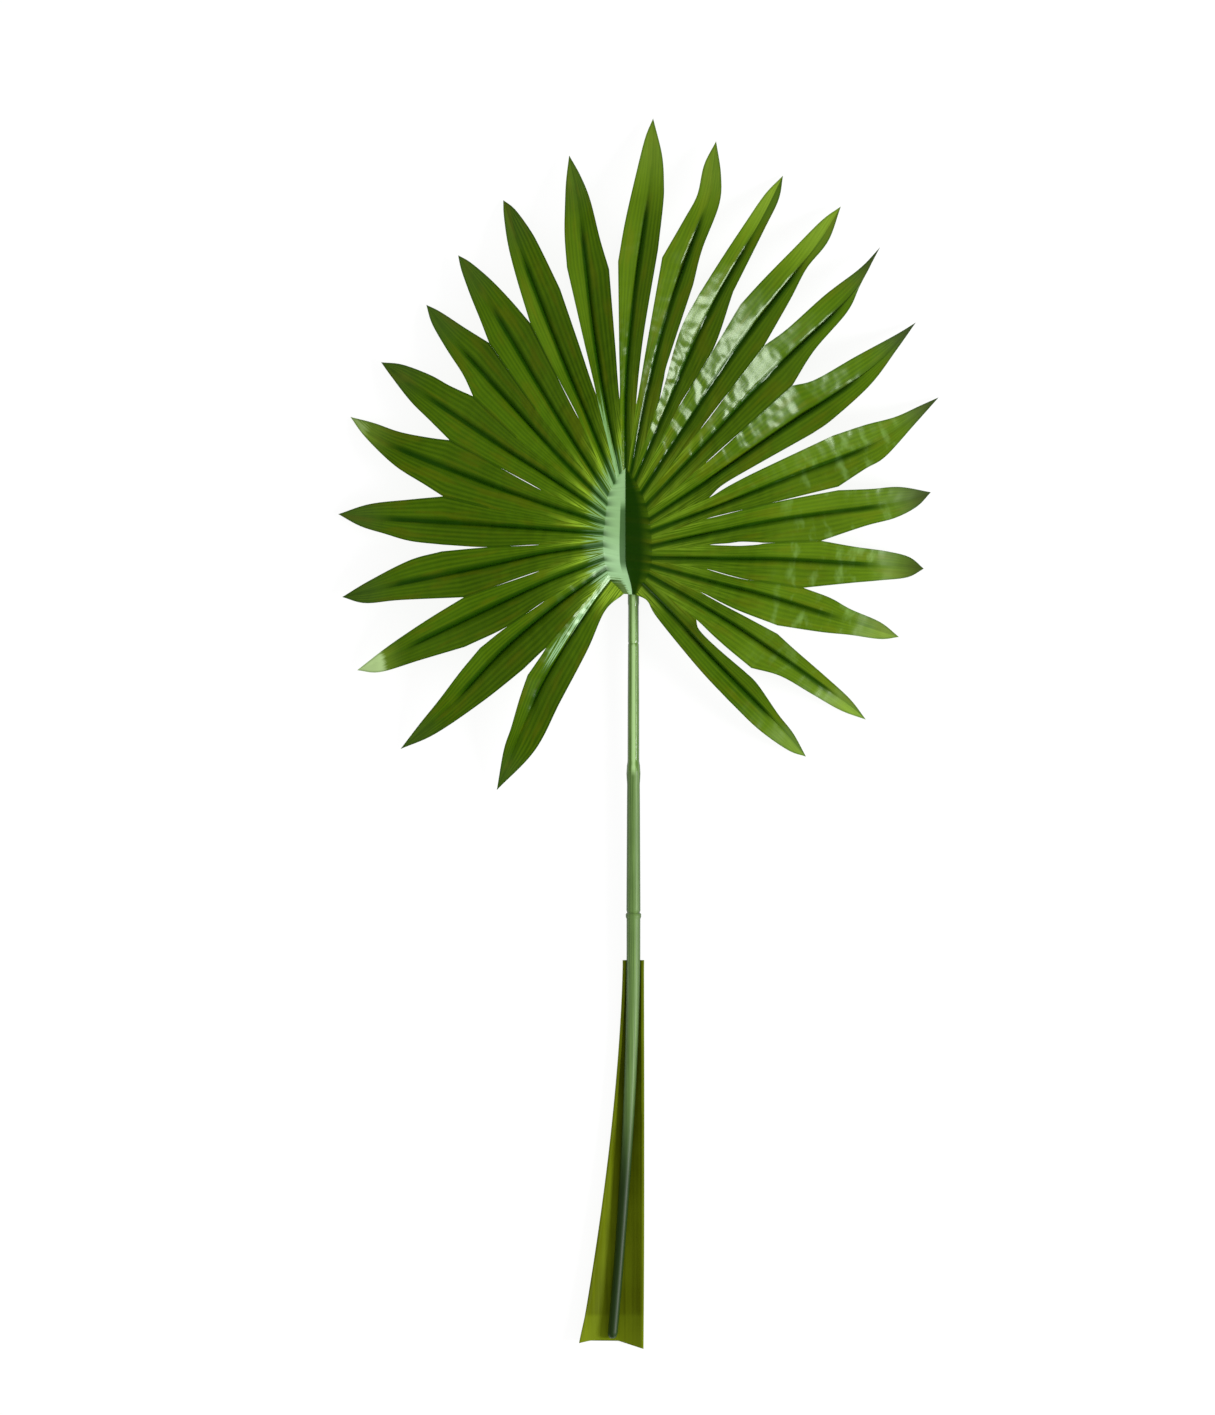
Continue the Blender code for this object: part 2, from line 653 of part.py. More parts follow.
def sheath_section(share):
    """The closed outline of the channel at a share of its length: its outer arc, then its inner one."""
    y = mix(SHEATH_TOP_Y, FOOT_REACH, share)
    half_width = mix(SHEATH_TOP_HALF_WIDTH, SHEATH_HALF_WIDTH, share**SHEATH_FLARE_POWER)
    half_angle = mix(SHEATH_TOP_ANGLE, SHEATH_FOOT_ANGLE, share**SHEATH_OPENING_POWER)
    outer = half_width / math.sin(half_angle)
    inner = outer - SHEATH_THICKNESS
    turn = 2 * half_angle / SHEATH_FACETS
    centre_z = keel_height(y) + outer * math.cos(turn / 2)
    section = []
    for radius, order in ((outer, 1), (inner, -1)):
        for i in range(SHEATH_FACETS + 1):
            angle = order * (i * turn - half_angle)
            x = radius * math.sin(angle)
            cut = sheath_cut(x / half_width) if share == 1 else 0.0
            section.append((axis_x(y) + x, y + cut, centre_z - radius * math.cos(angle)))
    return section


def make_sheath():
    bm = bmesh.new()
    rings = []
    for station in range(SHEATH_STATIONS + 1):
        section = sheath_section(station / SHEATH_STATIONS)
        corners = [((x - MIDDLE_X) * MM, (y - MIDDLE_Y) * MM, z * MM) for x, y, z in section]
        rings.append([bm.verts.new(corner) for corner in corners])
    for upper, lower in zip(rings, rings[1:]):
        for i in range(len(upper)):
            bm.faces.new((upper[i - 1], upper[i], lower[i], lower[i - 1]))
    last = 2 * SHEATH_FACETS + 1
    for ring in (rings[0], rings[-1]):
        for i in range(SHEATH_FACETS):
            bm.faces.new((ring[i], ring[i + 1], ring[last - i - 1], ring[last - i]))
    bmesh.ops.recalc_face_normals(bm, faces=bm.faces)
    return finish_mesh("sheath", bm)


def material(name):
    colour, roughness = PALETTE[name]
    made = bpy.data.materials.new(name)
    made.use_nodes = True
    shader = made.node_tree.nodes["Principled BSDF"]
    shader.inputs["Base Color"].default_value = colour
    shader.inputs["Roughness"].default_value = roughness
    shader.inputs["Metallic"].default_value = 0.0
    return made


def finish_mesh(name, bm):
    mesh = bpy.data.meshes.new(name)
    bmesh.ops.recalc_face_normals(bm, faces=bm.faces)
    bmesh.ops.triangulate(bm, faces=[face for face in bm.faces if len(face.verts) > 3])
    bm.to_mesh(mesh)
    bm.free()
    mesh.shade_smooth()
    mesh.set_sharp_from_angle(angle=SHARP_FROM)
    mesh.materials.append(material(name))
    made = bpy.data.objects.new(name, mesh)
    bpy.context.scene.collection.objects.link(made)
    return made


def main():
    for old in list(bpy.data.objects):
        bpy.data.objects.remove(old)
    make_blade()
    make_stalk()
    make_sheath()


main()
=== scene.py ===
"""The looks of a cut fan palm leaf that lies top side up: pleated blade, ringed stalk and sheath.

Each piece stands for one solid of the frame and keeps its form. Places in the tables are in
millimetres from a point in the hub, as in the solids' own source: X to the right, Y towards the
longest segment, Z up from the surface. MIDDLE_X and MIDDLE_Y move them into the frame.
"""

import math
from collections import namedtuple

import bmesh
import bpy
import numpy as np
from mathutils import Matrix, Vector


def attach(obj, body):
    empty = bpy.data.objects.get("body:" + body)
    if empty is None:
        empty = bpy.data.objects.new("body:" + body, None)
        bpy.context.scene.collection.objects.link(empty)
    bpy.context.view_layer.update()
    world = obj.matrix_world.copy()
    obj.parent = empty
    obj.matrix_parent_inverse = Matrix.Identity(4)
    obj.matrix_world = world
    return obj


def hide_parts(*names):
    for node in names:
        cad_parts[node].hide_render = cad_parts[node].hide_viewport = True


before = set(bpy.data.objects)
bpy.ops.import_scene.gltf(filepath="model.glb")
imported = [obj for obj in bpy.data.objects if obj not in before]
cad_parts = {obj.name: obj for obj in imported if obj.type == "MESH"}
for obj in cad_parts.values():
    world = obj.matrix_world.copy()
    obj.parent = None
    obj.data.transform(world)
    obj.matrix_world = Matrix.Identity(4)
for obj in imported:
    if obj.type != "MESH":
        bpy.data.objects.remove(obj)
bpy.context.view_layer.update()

MM = 0.001

# Overall sizes, and the gap between two pieces
LEFT_REACH = -108.8
RIGHT_REACH = 113.6
TOP_REACH = 158.0
FOOT_REACH = -297.6
MIDDLE_X = (LEFT_REACH + RIGHT_REACH) / 2
MIDDLE_Y = (TOP_REACH + FOOT_REACH) / 2
PIECE_GAP = 0.3

# Blade
BLADE_THICKNESS = 0.8
EDGE_THICKNESS = 0.4
THIN_WITHIN = 1.4
SLIT_OPENING = 0.22
SLIT_OPEN_FROM = 3.0
SLIT_OPEN_TO = 8.0
SLIT_SHUT_AT = 19.0
SHUT_SLITS = (5, 7, 8)
STATIONS = 62
HUB_ROWS = 8
CURVE_SAMPLES = 40
PLEAT_SLOPE = 0.46
PLEAT_AT_HUB = 0.35
PLEAT_FULL_FROM = 0.16
PLEAT_FADES_FROM = 0.5
PLEAT_GONE_AT = 0.94
RISE_AFTER_HUB = 8.5
ARCH_BEFORE_TIP = 17.45

# The relief across one half of a segment, from its fold to its ridge: place as a share of the
# half's width, height in millimetres where the half is FULL_RELIEF_WIDTH wide, and 1 on a vein.
Relief = namedtuple("Relief", "away height vein")
GROOVE = [Relief(0.0, -0.45, 0), Relief(0.05, -0.32, 0), Relief(0.15, 0.0, 0.3)]
VEIN_HEIGHT = 0.03
VEIN_COUNT = 4
FIRST_VEIN_AT = 0.3
LAST_VEIN_AT = 0.9
RIDGE_VEIN = 0.5
FULL_RELIEF_WIDTH = 7.0
FULL_RELIEF_FROM = 0.08
GROOVE_ENDS_BEFORE_FADE = 0.1

# Hub valley, along the line where its two walls meet
VALLEY_FOOT = (0.0, -18.4)
VALLEY_HEAD = (-2.5, 28.5)
VALLEY_STRAIGHT_FROM_Y = -5.0
VALLEY_FOOT_HEIGHT = 9.0
VALLEY_RISE = 5.0
VALLEY_RISE_POWER = 1.5
LEFT_WALL_SLOPE = 0.52
RIGHT_WALL_SLOPE = 0.62
WALL_PLEAT_POWER = 5
WALL_GROOVE_POWER = 3

# Stalk
RIB_END_Y = 24.0
STALK_TOP_Y = -22.0
STALK_TOP_RADIUS = 2.1
RIB_END_RADIUS = 0.95
BEND_START_Y = -150.0
BEND_LENGTH = 146.5
BEND_AWAY = 8.1
BEND_POWER = 1.7
UPPER_STALK_X = 0.5
FOOT_EVEN_BELOW_Y = -280.0
STALK_SIDES = 48
STALK_STEP = 1.1
STALK_RIDGES = 12
STALK_RIDGE_HEIGHT = 0.02
RIDGES_GROW_OVER = 6.0

# Sheath
SHEATH_TOP_Y = -153.6
SHEATH_THICKNESS = 1.2
SHEATH_HALF_WIDTH = 12.15
SHEATH_TOP_HALF_WIDTH = 4.05
SHEATH_TOP_ANGLE = math.radians(90)
SHEATH_FOOT_ANGLE = math.radians(46)
SHEATH_FLARE_POWER = 1.5
SHEATH_OPENING_POWER = 0.6
SHEATH_CUT_DEPTH = 2.2
SHEATH_CUT_SLANT = 2.2
SHEATH_STEPS_ACROSS = 40
SHEATH_STATIONS = 110
SHEATH_LIP = 0.25
SHEATH_LIP_WIDTH = 0.07
SHEATH_ROUNDING = 0.3
SHEATH_STEP_Y = (-284.0, -286.0)
SHEATH_STEP_DEPTH = 0.15
SHEATH_CUT_FROM = 0.9
FLAT_KEEL_TO_Y = -235.0
KEEL_RISE = 0.8

# Camera and light: the camera looks straight down, and one photograph pixel is 0.37 mm
IMAGE_SIDE = 1415 * 0.37
AIM = (-11.5, 9.7, 6.0)
CAMERA_HEIGHT = 6.0
SENSOR = 36.0
KEY_FROM = math.radians(-12)
KEY_TILT = math.radians(57)
KEY_DISTANCE = 1.3
KEY_SIZE = 0.42
KEY_POWER = 10.5
FILL_LEVEL = 0.57
GLOSS_FILL_LEVEL = 0.0
FLOOR_SIDE = 8.0
FLOOR_COLOUR = (0.16, 0.16, 0.16)
FLOOR_ROUGHNESS = 0.8
FLOOR_GLOW = 0.9

# Shading and the blade's texture map
SHARP_BLADE = math.radians(38)
SHARP_STALK = math.radians(50)
SHARP_SHEATH = math.radians(50)
MAP_SIDE = 0.47
MAP_FOOT_Y = -0.03
HALF_MAP = 0.5
BLADE_GLOSS = 0.42
GLOSS_TINT = (0.87, 1.0, 0.8)
STALK_GLOSS = 0.6
SHEATH_GLOSS = 0.05

# Patterns: a grain is how fine noise is across and along a piece, to the millimetre on the blade
# and to the metre on the others, and its detail. Clouds have one scale, to the metre, and a detail.
Grain = namedtuple("Grain", "across along detail")
STREAK_GRAIN = Grain(0.9, 0.02, 3.0)
BLOTCH_GRAIN = Grain(0.3, 0.06, 2.0)
FINE_GRAIN = Grain(2.4, 0.05, 1.0)
GLOSS_BAR_GRAIN = Grain(0.12, 0.22, 3.0)
RIPPLE_GRAIN = Grain(0.24, 0.3, 0.0)
STALK_GRAIN = Grain(2600.0, 30.0, 3.0)
SHEATH_GRAIN = Grain(900.0, 12.0, 3.0)
SEGMENT_SPREAD = 3.7
LEAF_CLOUDS = (22.0, 3.0)
STALK_CLOUDS = (90.0, 2.0)
SHEATH_CLOUDS = (60.0, 2.0)
RIPPLE_HEIGHT = 0.0005
STALK_GRAIN_HEIGHT = 0.00003
SHEATH_GRAIN_HEIGHT = 0.00015

# A fade is where it starts and where it ends in what it follows, and its values at the two,
# which are 0 and 1 if they aren't given. A name that ends in Y is a stretch along Y, as in the tables.
EVENLY = (0.3, 0.7)
VEINS_BY_STREAKS = (0.3, 0.7, 0.25, 0.75)
DARK_STREAKS = (0.45, 0.8, 0.0, 0.5)
BLOTCHES = (0.5, 0.68, 0.0, 0.6)
FINE_STREAKS = (0.4, 0.6, -1.0, 1.0)
FINE_STREAKS_ALONG = (0.3, 0.5, 0.35, 0.05)
BROWN_TIPS = (0.84, 0.99, 0.0, 0.85)
GLOSS_BARS = (0.5, 0.78, 0.0, 0.75)
PAINTED_SHEEN_FADE = (0.35, 0.7)
HIGHLIGHT_BEYOND = (0.5, 0.6)
HUB_SHEEN_PALER_Y = (7.0, -6.0)
DARK_MARGIN = (0.3, 1.0, 0.0, 0.35)
RIGHT_WALL_SHADE = (-0.05, -0.5, 0.0, 0.85)
WALL_STRIP = (0.72, 0.76)
LEAF_ROUGHNESS = (0.3, 0.7, 0.19, 0.24)
LEFT_WALL_ROUGHNESS = (0.0, 0.12, 0.0, 0.3)
ROUGH_TIPS = (0.78, 0.92)
TIP_ROUGHNESS = (18.0, 19.0, 0.2, 0.42)
STALK_CLOUDING = (0.4, 0.75, 0.0, 0.4)
STALK_SIDES_SHADED = (0.9, 0.4, 0.0, 0.9)
STALK_HIGHLIGHT_LINE = (0.92, 0.99)
STALK_GLOSSY_Y = (-86.0, -82.0)
STALK_DARKENS_Y = (-190.0, -240.0)
STALK_ROUGHNESS = (0.0, 1.0, 0.5, 0.2)
SHEATH_CLOUDING = (0.35, 0.7, 0.0, 0.4)
SHEATH_ROUGHNESS = (0.2, 0.8, 0.5, 0.6)

# Spans, each a rising and a falling fade
BROWN_SEGMENTS = ((14.0, 15.0), (20.0, 19.0))
GLOSS_BAR_SEGMENTS = ((16.0, 17.0), (21.5, 20.5))
GLOSS_BARS_ALONG = ((0.42, 0.55), (0.9, 0.8))
FOLD_SHADE = ((-1.0, -0.2), (0.4, 2.3, 0.85, 0.0))
RIPPLES_ALONG = ((0.0, 0.12, 0.2, 1.0), (0.3, 0.5, 1.0, 0.5))
WALL_STRIP_Y = ((-11.0, -6.0), (17.0, 12.0))

# Strengths of colours, and what is added to the roughness
YELLOW_UNEVENNESS = 2.5
WALL_STRIP_SHADE = 0.75
UNDER_PALENESS = 0.6
SHEATH_FOOT_PALENESS = 0.5
WALL_STRIP_ROUGHNESS = 0.5
BROWN_ROUGHNESS = 0.35
UNDER_ROUGHNESS = 0.2

# Colours, matched to the photograph
LEAF_DEEP = (0.041, 0.103, 0.0003)
LEAF_MID = (0.064, 0.15, 0.0004)
LEAF_VEIN = (0.13, 0.245, 0.001)
# Yellowish pale green: partly the tips' own colour, partly painted light on halves and rims facing the key
LEAF_PALE_AND_LIT = (0.28, 0.46, 0.02)
# Painted shade for the folds, the hub wall's strip and its right wall; also darkens the open margins
LEAF_PAINTED_SHADE = (0.008, 0.055, 0.0003)
# Painted pale blue-green sheen on the hub's left wall, paler towards its lower end
LEAF_HUB_SHEEN = (0.235, 0.45, 0.165)
LEAF_LOW_HUB_SHEEN = (0.34, 0.59, 0.28)
# Painted highlight, nearly white, where the painted sheen reaches past a segment's middle
LEAF_PAINTED_HIGHLIGHT = (0.6, 0.84, 0.34)
LEAF_BROWN = (0.032, 0.048, 0.002)
LEAF_OLIVE = (0.115, 0.155, 0.0005)
# Painted gloss: pale cross bars on five right-hand segments
LEAF_GLOSS_BAR = (0.24, 0.42, 0.09)
LEAF_UNDER = (0.11, 0.17, 0.03)
STALK_DEEP = (0.105, 0.215, 0.036)
STALK_PALE = (0.2, 0.36, 0.078)
# Painted highlight along the top of the upper stalk
STALK_PAINTED_HIGHLIGHT = (0.5, 0.76, 0.31)
# Painted shade on the stalk's sides
STALK_SIDE_SHADE = (0.045, 0.1, 0.014)
STALK_FOOT = (0.018, 0.055, 0.0005)
SHEATH_DEEP = (0.1, 0.13, 0.001)
SHEATH_MID = (0.14, 0.185, 0.002)
SHEATH_PALE = (0.2, 0.27, 0.006)

# One line a segment, clockwise from the lower left: where its fold leaves the hub, its fold a
# quarter and half of the way along, where the fold fades, its tip, and how far the tip stands
# clear of the surface.
Segment = namedtuple("Segment", "root near mid fade tip clear")
SEGMENTS = [
    Segment((-8.1, -13.0), (-19.7, -29.2), (-31.4, -48.1), (-38.5, -63.1), (-50.1, -90.7), 2.0),
    Segment((-9.6, -9.2), (-28.2, -22.4), (-47.5, -38.8), (-66.7, -58.9), (-85.8, -75.5), 0.0),
    Segment((-10.4, -5.5), (-31.4, -13.6), (-54.1, -24.2), (-85.7, -39.3), (-101.8, -46.3), 1.5),
    Segment((-10.9, -0.2), (-32.8, -3.3), (-56.9, -8.6), (-94.1, -16.2), (-107.3, -19.2), 3.0),
    Segment((-10.8, 4.0), (-32.8, 5.7), (-57.4, 7.4), (-95.4, 9.8), (LEFT_REACH, 11.5), 0.8),
    Segment((-10.3, 7.8), (-32.3, 14.9), (-56.6, 23.5), (-92.3, 38.1), (-104.3, 47.5), 0.0),
    Segment((-10.0, 11.0), (-28.8, 23.7), (-50.0, 37.2), (-79.1, 56.9), (-92.9, 67.7), 2.2),
    Segment((-9.3, 14.9), (-25.4, 30.6), (-42.3, 49.1), (-65.8, 75.0), (-76.2, 89.0), 1.0),
    Segment((-9.1, 18.4), (-22.1, 38.0), (-35.8, 60.3), (-53.9, 90.7), (-64.4, 107.3), 3.0),
    Segment((-6.6, 22.7), (-16.5, 46.1), (-27.5, 72.1), (-42.2, 110.3), (-47.7, 127.8), 0.0),
    Segment((-4.8, 26.0), (-10.3, 52.3), (-15.0, 81.9), (-19.6, 122.1), (-23.3, 144.3), 2.0),
    Segment(VALLEY_HEAD, (-2.5, 57.8), (0.3, 90.2), (6.1, 132.1), (7.8, TOP_REACH), 1.2),
    Segment((-0.6, 26.6), (5.1, 55.6), (13.1, 86.1), (27.1, 126.2), (31.1, 149.5), 3.2),
    Segment((1.0, 24.2), (13.0, 51.5), (25.1, 79.9), (46.1, 117.6), (55.9, 136.9), 0.0),
    Segment((3.4, 19.4), (20.9, 46.0), (38.3, 72.3), (65.4, 107.0), (77.3, 125.4), 1.8),
    Segment((5.2, 14.9), (27.2, 38.2), (48.7, 61.1), (80.4, 91.6), (91.8, 110.3), 3.0),
    Segment((6.4, 9.6), (31.6, 26.4), (56.2, 43.5), (87.2, 64.5), (105.1, 82.5), 0.6),
    Segment((7.0, 5.2), (33.4, 15.1), (60.3, 26.2), (91.3, 38.6), (RIGHT_REACH, 54.8), 0.0),
    Segment((7.3, -0.2), (31.4, 5.0), (56.9, 10.0), (96.9, 15.5), (110.6, 19.6), 2.4),
    Segment((7.4, -4.6), (30.4, -4.9), (55.5, -5.1), (93.1, -7.4), (108.0, -8.7), 1.0),
    Segment((7.2, -7.5), (28.0, -13.1), (51.1, -18.9), (78.4, -27.5), (98.8, -34.0), 3.0),
    Segment((6.1, -11.0), (25.1, -21.8), (45.8, -34.6), (77.5, -57.1), (86.6, -64.6), 0.0),
    Segment((4.1, -14.3), (17.9, -28.6), (32.9, -44.7), (53.6, -65.8), (64.4, -78.3), 2.2),
]

# How pale the tip is, left and right of the fold, by the segment's place in the table: partly the
# tips' own paler colour, partly painted light on halves that face the key.
PALE_AND_LIT_TIPS = {
    2: (0.9, 0.9),
    5: (0.7, 0.5),
    10: (0.25, 0.1),
    11: (0.5, 0.45),
    12: (0.5, 0.4),
    13: (0.75, 0.0),
    14: (0.7, 0.2),
    18: (0.05, 0.15),
    19: (0.15, 0.4),
    20: (0.25, 0.5),
    21: (0.2, 0.6),
    22: (0.1, 0.4),
}

# Tips with a nearly white painted highlight, and halves with painted light, paler beyond their middle.
TIP_HIGHLIGHTS = {2: 1.0, 5: 0.45}
LIT_LEFT_HALVES = (9, 10, 11, 12, 13, 17, 18, 19, 20, 21)
LIT_RIGHT_HALVES = (17, 18, 19, 20, 21, 22)

# The stretches of a segment's length over which its pale tip and the painted light on its half set in.
LEFT_TIPS_PALE = (0.8, 0.96)
RIGHT_TIPS_PALE = (0.62, 0.96)
TIP_HIGHLIGHT_ALONG = (0.84, 0.94)
HALF_LIT_ALONG = (0.35, 0.5)
HALF_PAINTED_LIGHT = 0.13

# Pale patches by the hub: the strength, the stretch of the segment's length over which the patch
# ends, and those of the half's width, from the fold outwards, over which it begins and stops.
# A patch begins at the fold and reaches the ridge unless it says otherwise. The roots' and rims'
# patches are painted light: sheen and highlights where the segments rise towards the key.
FROM_FOLD = (-1.0, 0.0)
TO_RIDGE = (1.0, 2.0)
Patch = namedtuple("Patch", "strength ends begins stops", defaults=(FROM_FOLD, TO_RIDGE))
LEFT_OF_VALLEY = 11
LEFT_ROOT_SHEEN = Patch(0.8, (0.0, 0.1))
LEFT_RIM_LIGHT = (Patch(0.5, (0.04, 0.27), (0.25, 0.8)), Patch(0.35, (0.06, 0.16), (0.5, 0.9)))
RIGHT_RIM_LIGHT = (Patch(0.2, (0.1, 0.3), (0.2, 0.8)),)
RIGHT_PAINTED_LIGHT = 0.06
OUTER_HALVES = ((0, -1), (len(SEGMENTS) - 1, 1))
OUTER_ROOTS = Patch(0.65, (0.03, 0.17))

# Two halves, by segment and side, which is -1 on the left, have a strip of painted pale blue-green
# sheen. The painted shade in their fold begins only beyond it.
Strip = namedtuple("Strip", "patch fold_darkens")
SHEEN_STRIPS = {
    (LEFT_OF_VALLEY - 1, -1): Strip(Patch(1.0, (0.08, 0.32), (0.0, 0.3)), (0.1, 0.3)),
    (0, 1): Strip(Patch(0.75, (0.25, 0.65), (0.0, 0.1), (0.45, 0.85)), (0.35, 0.6)),
}

# The hub's left wall faces the key and has a painted blue-green sheen up to its rim, except at its
# lower end, where only its crease has it.
LOW_RIM_Y = (-15.0, -10.0)
CREASE_SHEEN = (0.45, 0.75)

# The cuts between the segments, in the same order, first and last being the blade's outer edges.
# slit is where two segments part. Each side then runs straight to its shoulder, the last point of
# its first list, and in a curve through its second list to its segment's tip.
Cut = namedtuple("Cut", "slit before after")
Side = namedtuple("Side", "to_shoulder to_tip")
CUTS = [
    Cut((-3.0, -18.1),
        None,
        Side([(-10.0, -24.4), (-16.5, -38.9), (-26.6, -58.1)], [(-35.9, -75.9)])),
    Cut((-31.8, -38.1),
        Side([(-38.7, -48.1)], [(-41.8, -57.4), (-44.8, -67.7), (-47.5, -75.9)]),
        Side([(-40.0, -45.9)], [(-55.5, -58.1), (-72.9, -69.9)])),
    Cut((-32.2, -20.7),
        Side([(-46.3, -30.3), (-56.2, -38.1)], [(-63.6, -47.0), (-71.5, -57.4), (-78.4, -65.9)]),
        Side([(-46.3, -30.3), (-61.8, -37.7)], [(-78.4, -42.6), (-93.2, -47.0)])),
    Cut((-34.0, -9.6),
        Side([(-62.2, -19.4)], [(-74.7, -27.0), (-85.8, -34.3), (-93.2, -39.6)]),
        Side([(-62.2, -19.4)], [(-85.8, -20.4), (-98.8, -21.5)])),
    Cut((-34.0, 0.0),
        Side([(-53.3, -0.9), (-70.3, -2.4)], [(-82.1, -5.6), (-96.9, -13.0)]),
        Side([(-53.3, -0.9), (-69.9, 0.0)], [(-82.0, 1.4), (-91.4, 4.1), (-100.6, 7.0)])),
    Cut((-52.0, 13.4),
        Side([(-69.9, 17.9)], [(-82.1, 16.8), (-97.0, 15.2)]),
        Side([(-69.9, 17.9)], [(-76.6, 22.2), (-88.0, 29.5), (-98.8, 40.0)])),
    Cut((-33.3, 20.0),
        Side([(-67.5, 38.7)], [(-74.7, 39.6), (-85.8, 41.8), (-95.5, 45.2)]),
        Side([(-67.5, 38.7)], [(-74.7, 45.9), (-82.1, 53.3), (-89.5, 62.9)])),
    Cut((-42.0, 38.8),
        Side([(-58.8, 54.9)], [(-67.3, 58.8), (-74.7, 62.9), (-85.0, 66.8)]),
        Side([(-58.8, 54.9)], [(-62.5, 62.9), (-68.5, 72.2), (-74.0, 81.8)])),
    Cut((-35.0, 49.0),
        Side([(-52.9, 74.7)], [(-61.8, 80.3), (-71.0, 86.4)]),
        Side([(-52.9, 74.7)], [(-56.2, 83.3), (-59.9, 92.5), (-63.2, 101.8)])),
    Cut((-19.6, 46.3),
        Side([(-28.9, 64.4), (-37.7, 82.0)], [(-45.1, 90.7), (-52.5, 98.4), (-59.9, 104.7)]),
        Side([(-28.9, 64.4), (-37.7, 82.0)], [(-42.6, 98.1), (-45.9, 111.0), (-47.5, 122.1)])),
    Cut((-13.3, 55.5),
        Side([(-26.6, 94.5)], [(-34.0, 109.9), (-37.7, 116.6), (-43.3, 124.3)]),
        Side([(-24.1, 102.5)], [(-25.0, 115.0), (-24.8, 127.0), (-24.4, 135.1)])),
    Cut((-4.6, 53.7),
        Side([(-8.5, 101.8)], [(-11.8, 112.9), (-15.5, 127.7), (-19.2, 136.9)]),
        Side([(-5.2, 104.7)], [(-2.6, 119.5), (1.1, 135.8), (4.8, 150.6)])),
    Cut((1.5, 51.8),
        Side([(4.0, 75.9), (9.6, 109.2)], [(11.5, 125.8), (11.8, 133.2), (11.1, 144.3)]),
        Side([(11.1, 106.2)], [(19.6, 121.0), (24.1, 129.5), (26.6, 140.6)])),
    Cut((10.2, 53.5),
        Side([(11.8, 61.1), (13.5, 68.5), (22.6, 96.2)],
             [(25.9, 109.2), (32.2, 125.8), (32.9, 137.0)]),
        Side([(12.4, 61.1), (17.9, 79.6), (24.4, 92.1)],
             [(33.3, 106.2), (41.8, 119.1), (49.2, 129.9)])),
    Cut((17.0, 50.7),
        Side([(29.6, 71.4), (37.4, 93.6)], [(42.2, 103.2), (49.2, 117.3), (54.3, 128.0)]),
        Side([(29.6, 71.4), (40.0, 88.8)], [(48.1, 97.7), (59.6, 109.5), (70.3, 120.3)])),
    Cut((25.2, 42.6),
        Side([(48.8, 73.6)], [(58.5, 90.7), (64.6, 102.3), (72.6, 112.5)]),
        Side([(48.8, 73.6)], [(57.4, 79.9), (71.4, 92.5), (84.4, 102.5)])),
    Cut((27.0, 30.0),
        Side([(59.2, 58.8)], [(67.3, 71.8), (79.6, 86.2), (84.5, 96.3)]),
        Side([(59.2, 58.8)], [(67.7, 61.1), (82.5, 69.6), (97.3, 77.7)])),
    Cut((28.5, 17.4),
        Side([(36.3, 23.8), (66.6, 41.1)], [(74.0, 46.3), (88.1, 59.2), (98.0, 72.4)]),
        Side([(40.0, 24.1), (74.0, 40.3)], [(86.2, 44.4), (97.3, 47.4), (106.5, 51.6)])),
    Cut((27.4, 9.6),
        Side([(51.8, 15.5), (76.2, 21.5)], [(86.2, 28.1), (93.6, 32.6), (104.5, 44.6)]),
        Side([(51.8, 15.5), (76.2, 20.2)], [(88.0, 20.7), (99.0, 21.5)])),
    Cut((28.5, 0.0),
        Side([(35.5, 0.4), (40.0, 1.0), (46.0, 0.9), (51.0, 0.7), (69.9, 1.5)],
             [(86.2, 7.0), (97.3, 10.0), (105.5, 14.3)]),
        Side([(35.5, -0.2), (40.0, -0.3), (46.0, 0.0), (51.0, 0.65), (69.9, 1.5)],
             [(82.5, -0.7), (93.6, -2.2), (102.6, -4.4)])),
    Cut((27.4, -8.9),
        Side([(36.3, -11.5), (43.7, -13.1), (63.3, -15.9)],
             [(80.7, -14.1), (91.8, -13.1), (102.0, -11.9)]),
        Side([(36.3, -11.5), (43.7, -13.1), (63.3, -15.9)],
             [(73.3, -19.6), (80.7, -23.7), (91.8, -28.5)])),
    Cut((25.2, -17.4),
        Side([(37.0, -23.4), (53.7, -29.8)], [(69.6, -32.2), (80.7, -33.3), (91.8, -34.8)]),
        Side([(37.0, -23.9), (53.7, -32.9)], [(60.3, -38.9), (71.4, -48.5), (80.7, -57.0)])),
    Cut((23.7, -27.6),
        Side([(31.6, -35.2), (44.0, -45.5)], [(54.8, -48.5), (65.9, -54.8), (77.0, -61.1)]),
        Side([(25.0, -31.5), (32.4, -38.9), (41.4, -46.6)],
             [(46.3, -51.4), (54.0, -62.5), (59.6, -69.6)])),
    Cut((1.5, -18.5),
        Side([(5.6, -20.7), (9.3, -27.0), (24.4, -45.5), (35.5, -57.4)],
             [(46.6, -68.1), (57.7, -75.9)]),
        None),
]

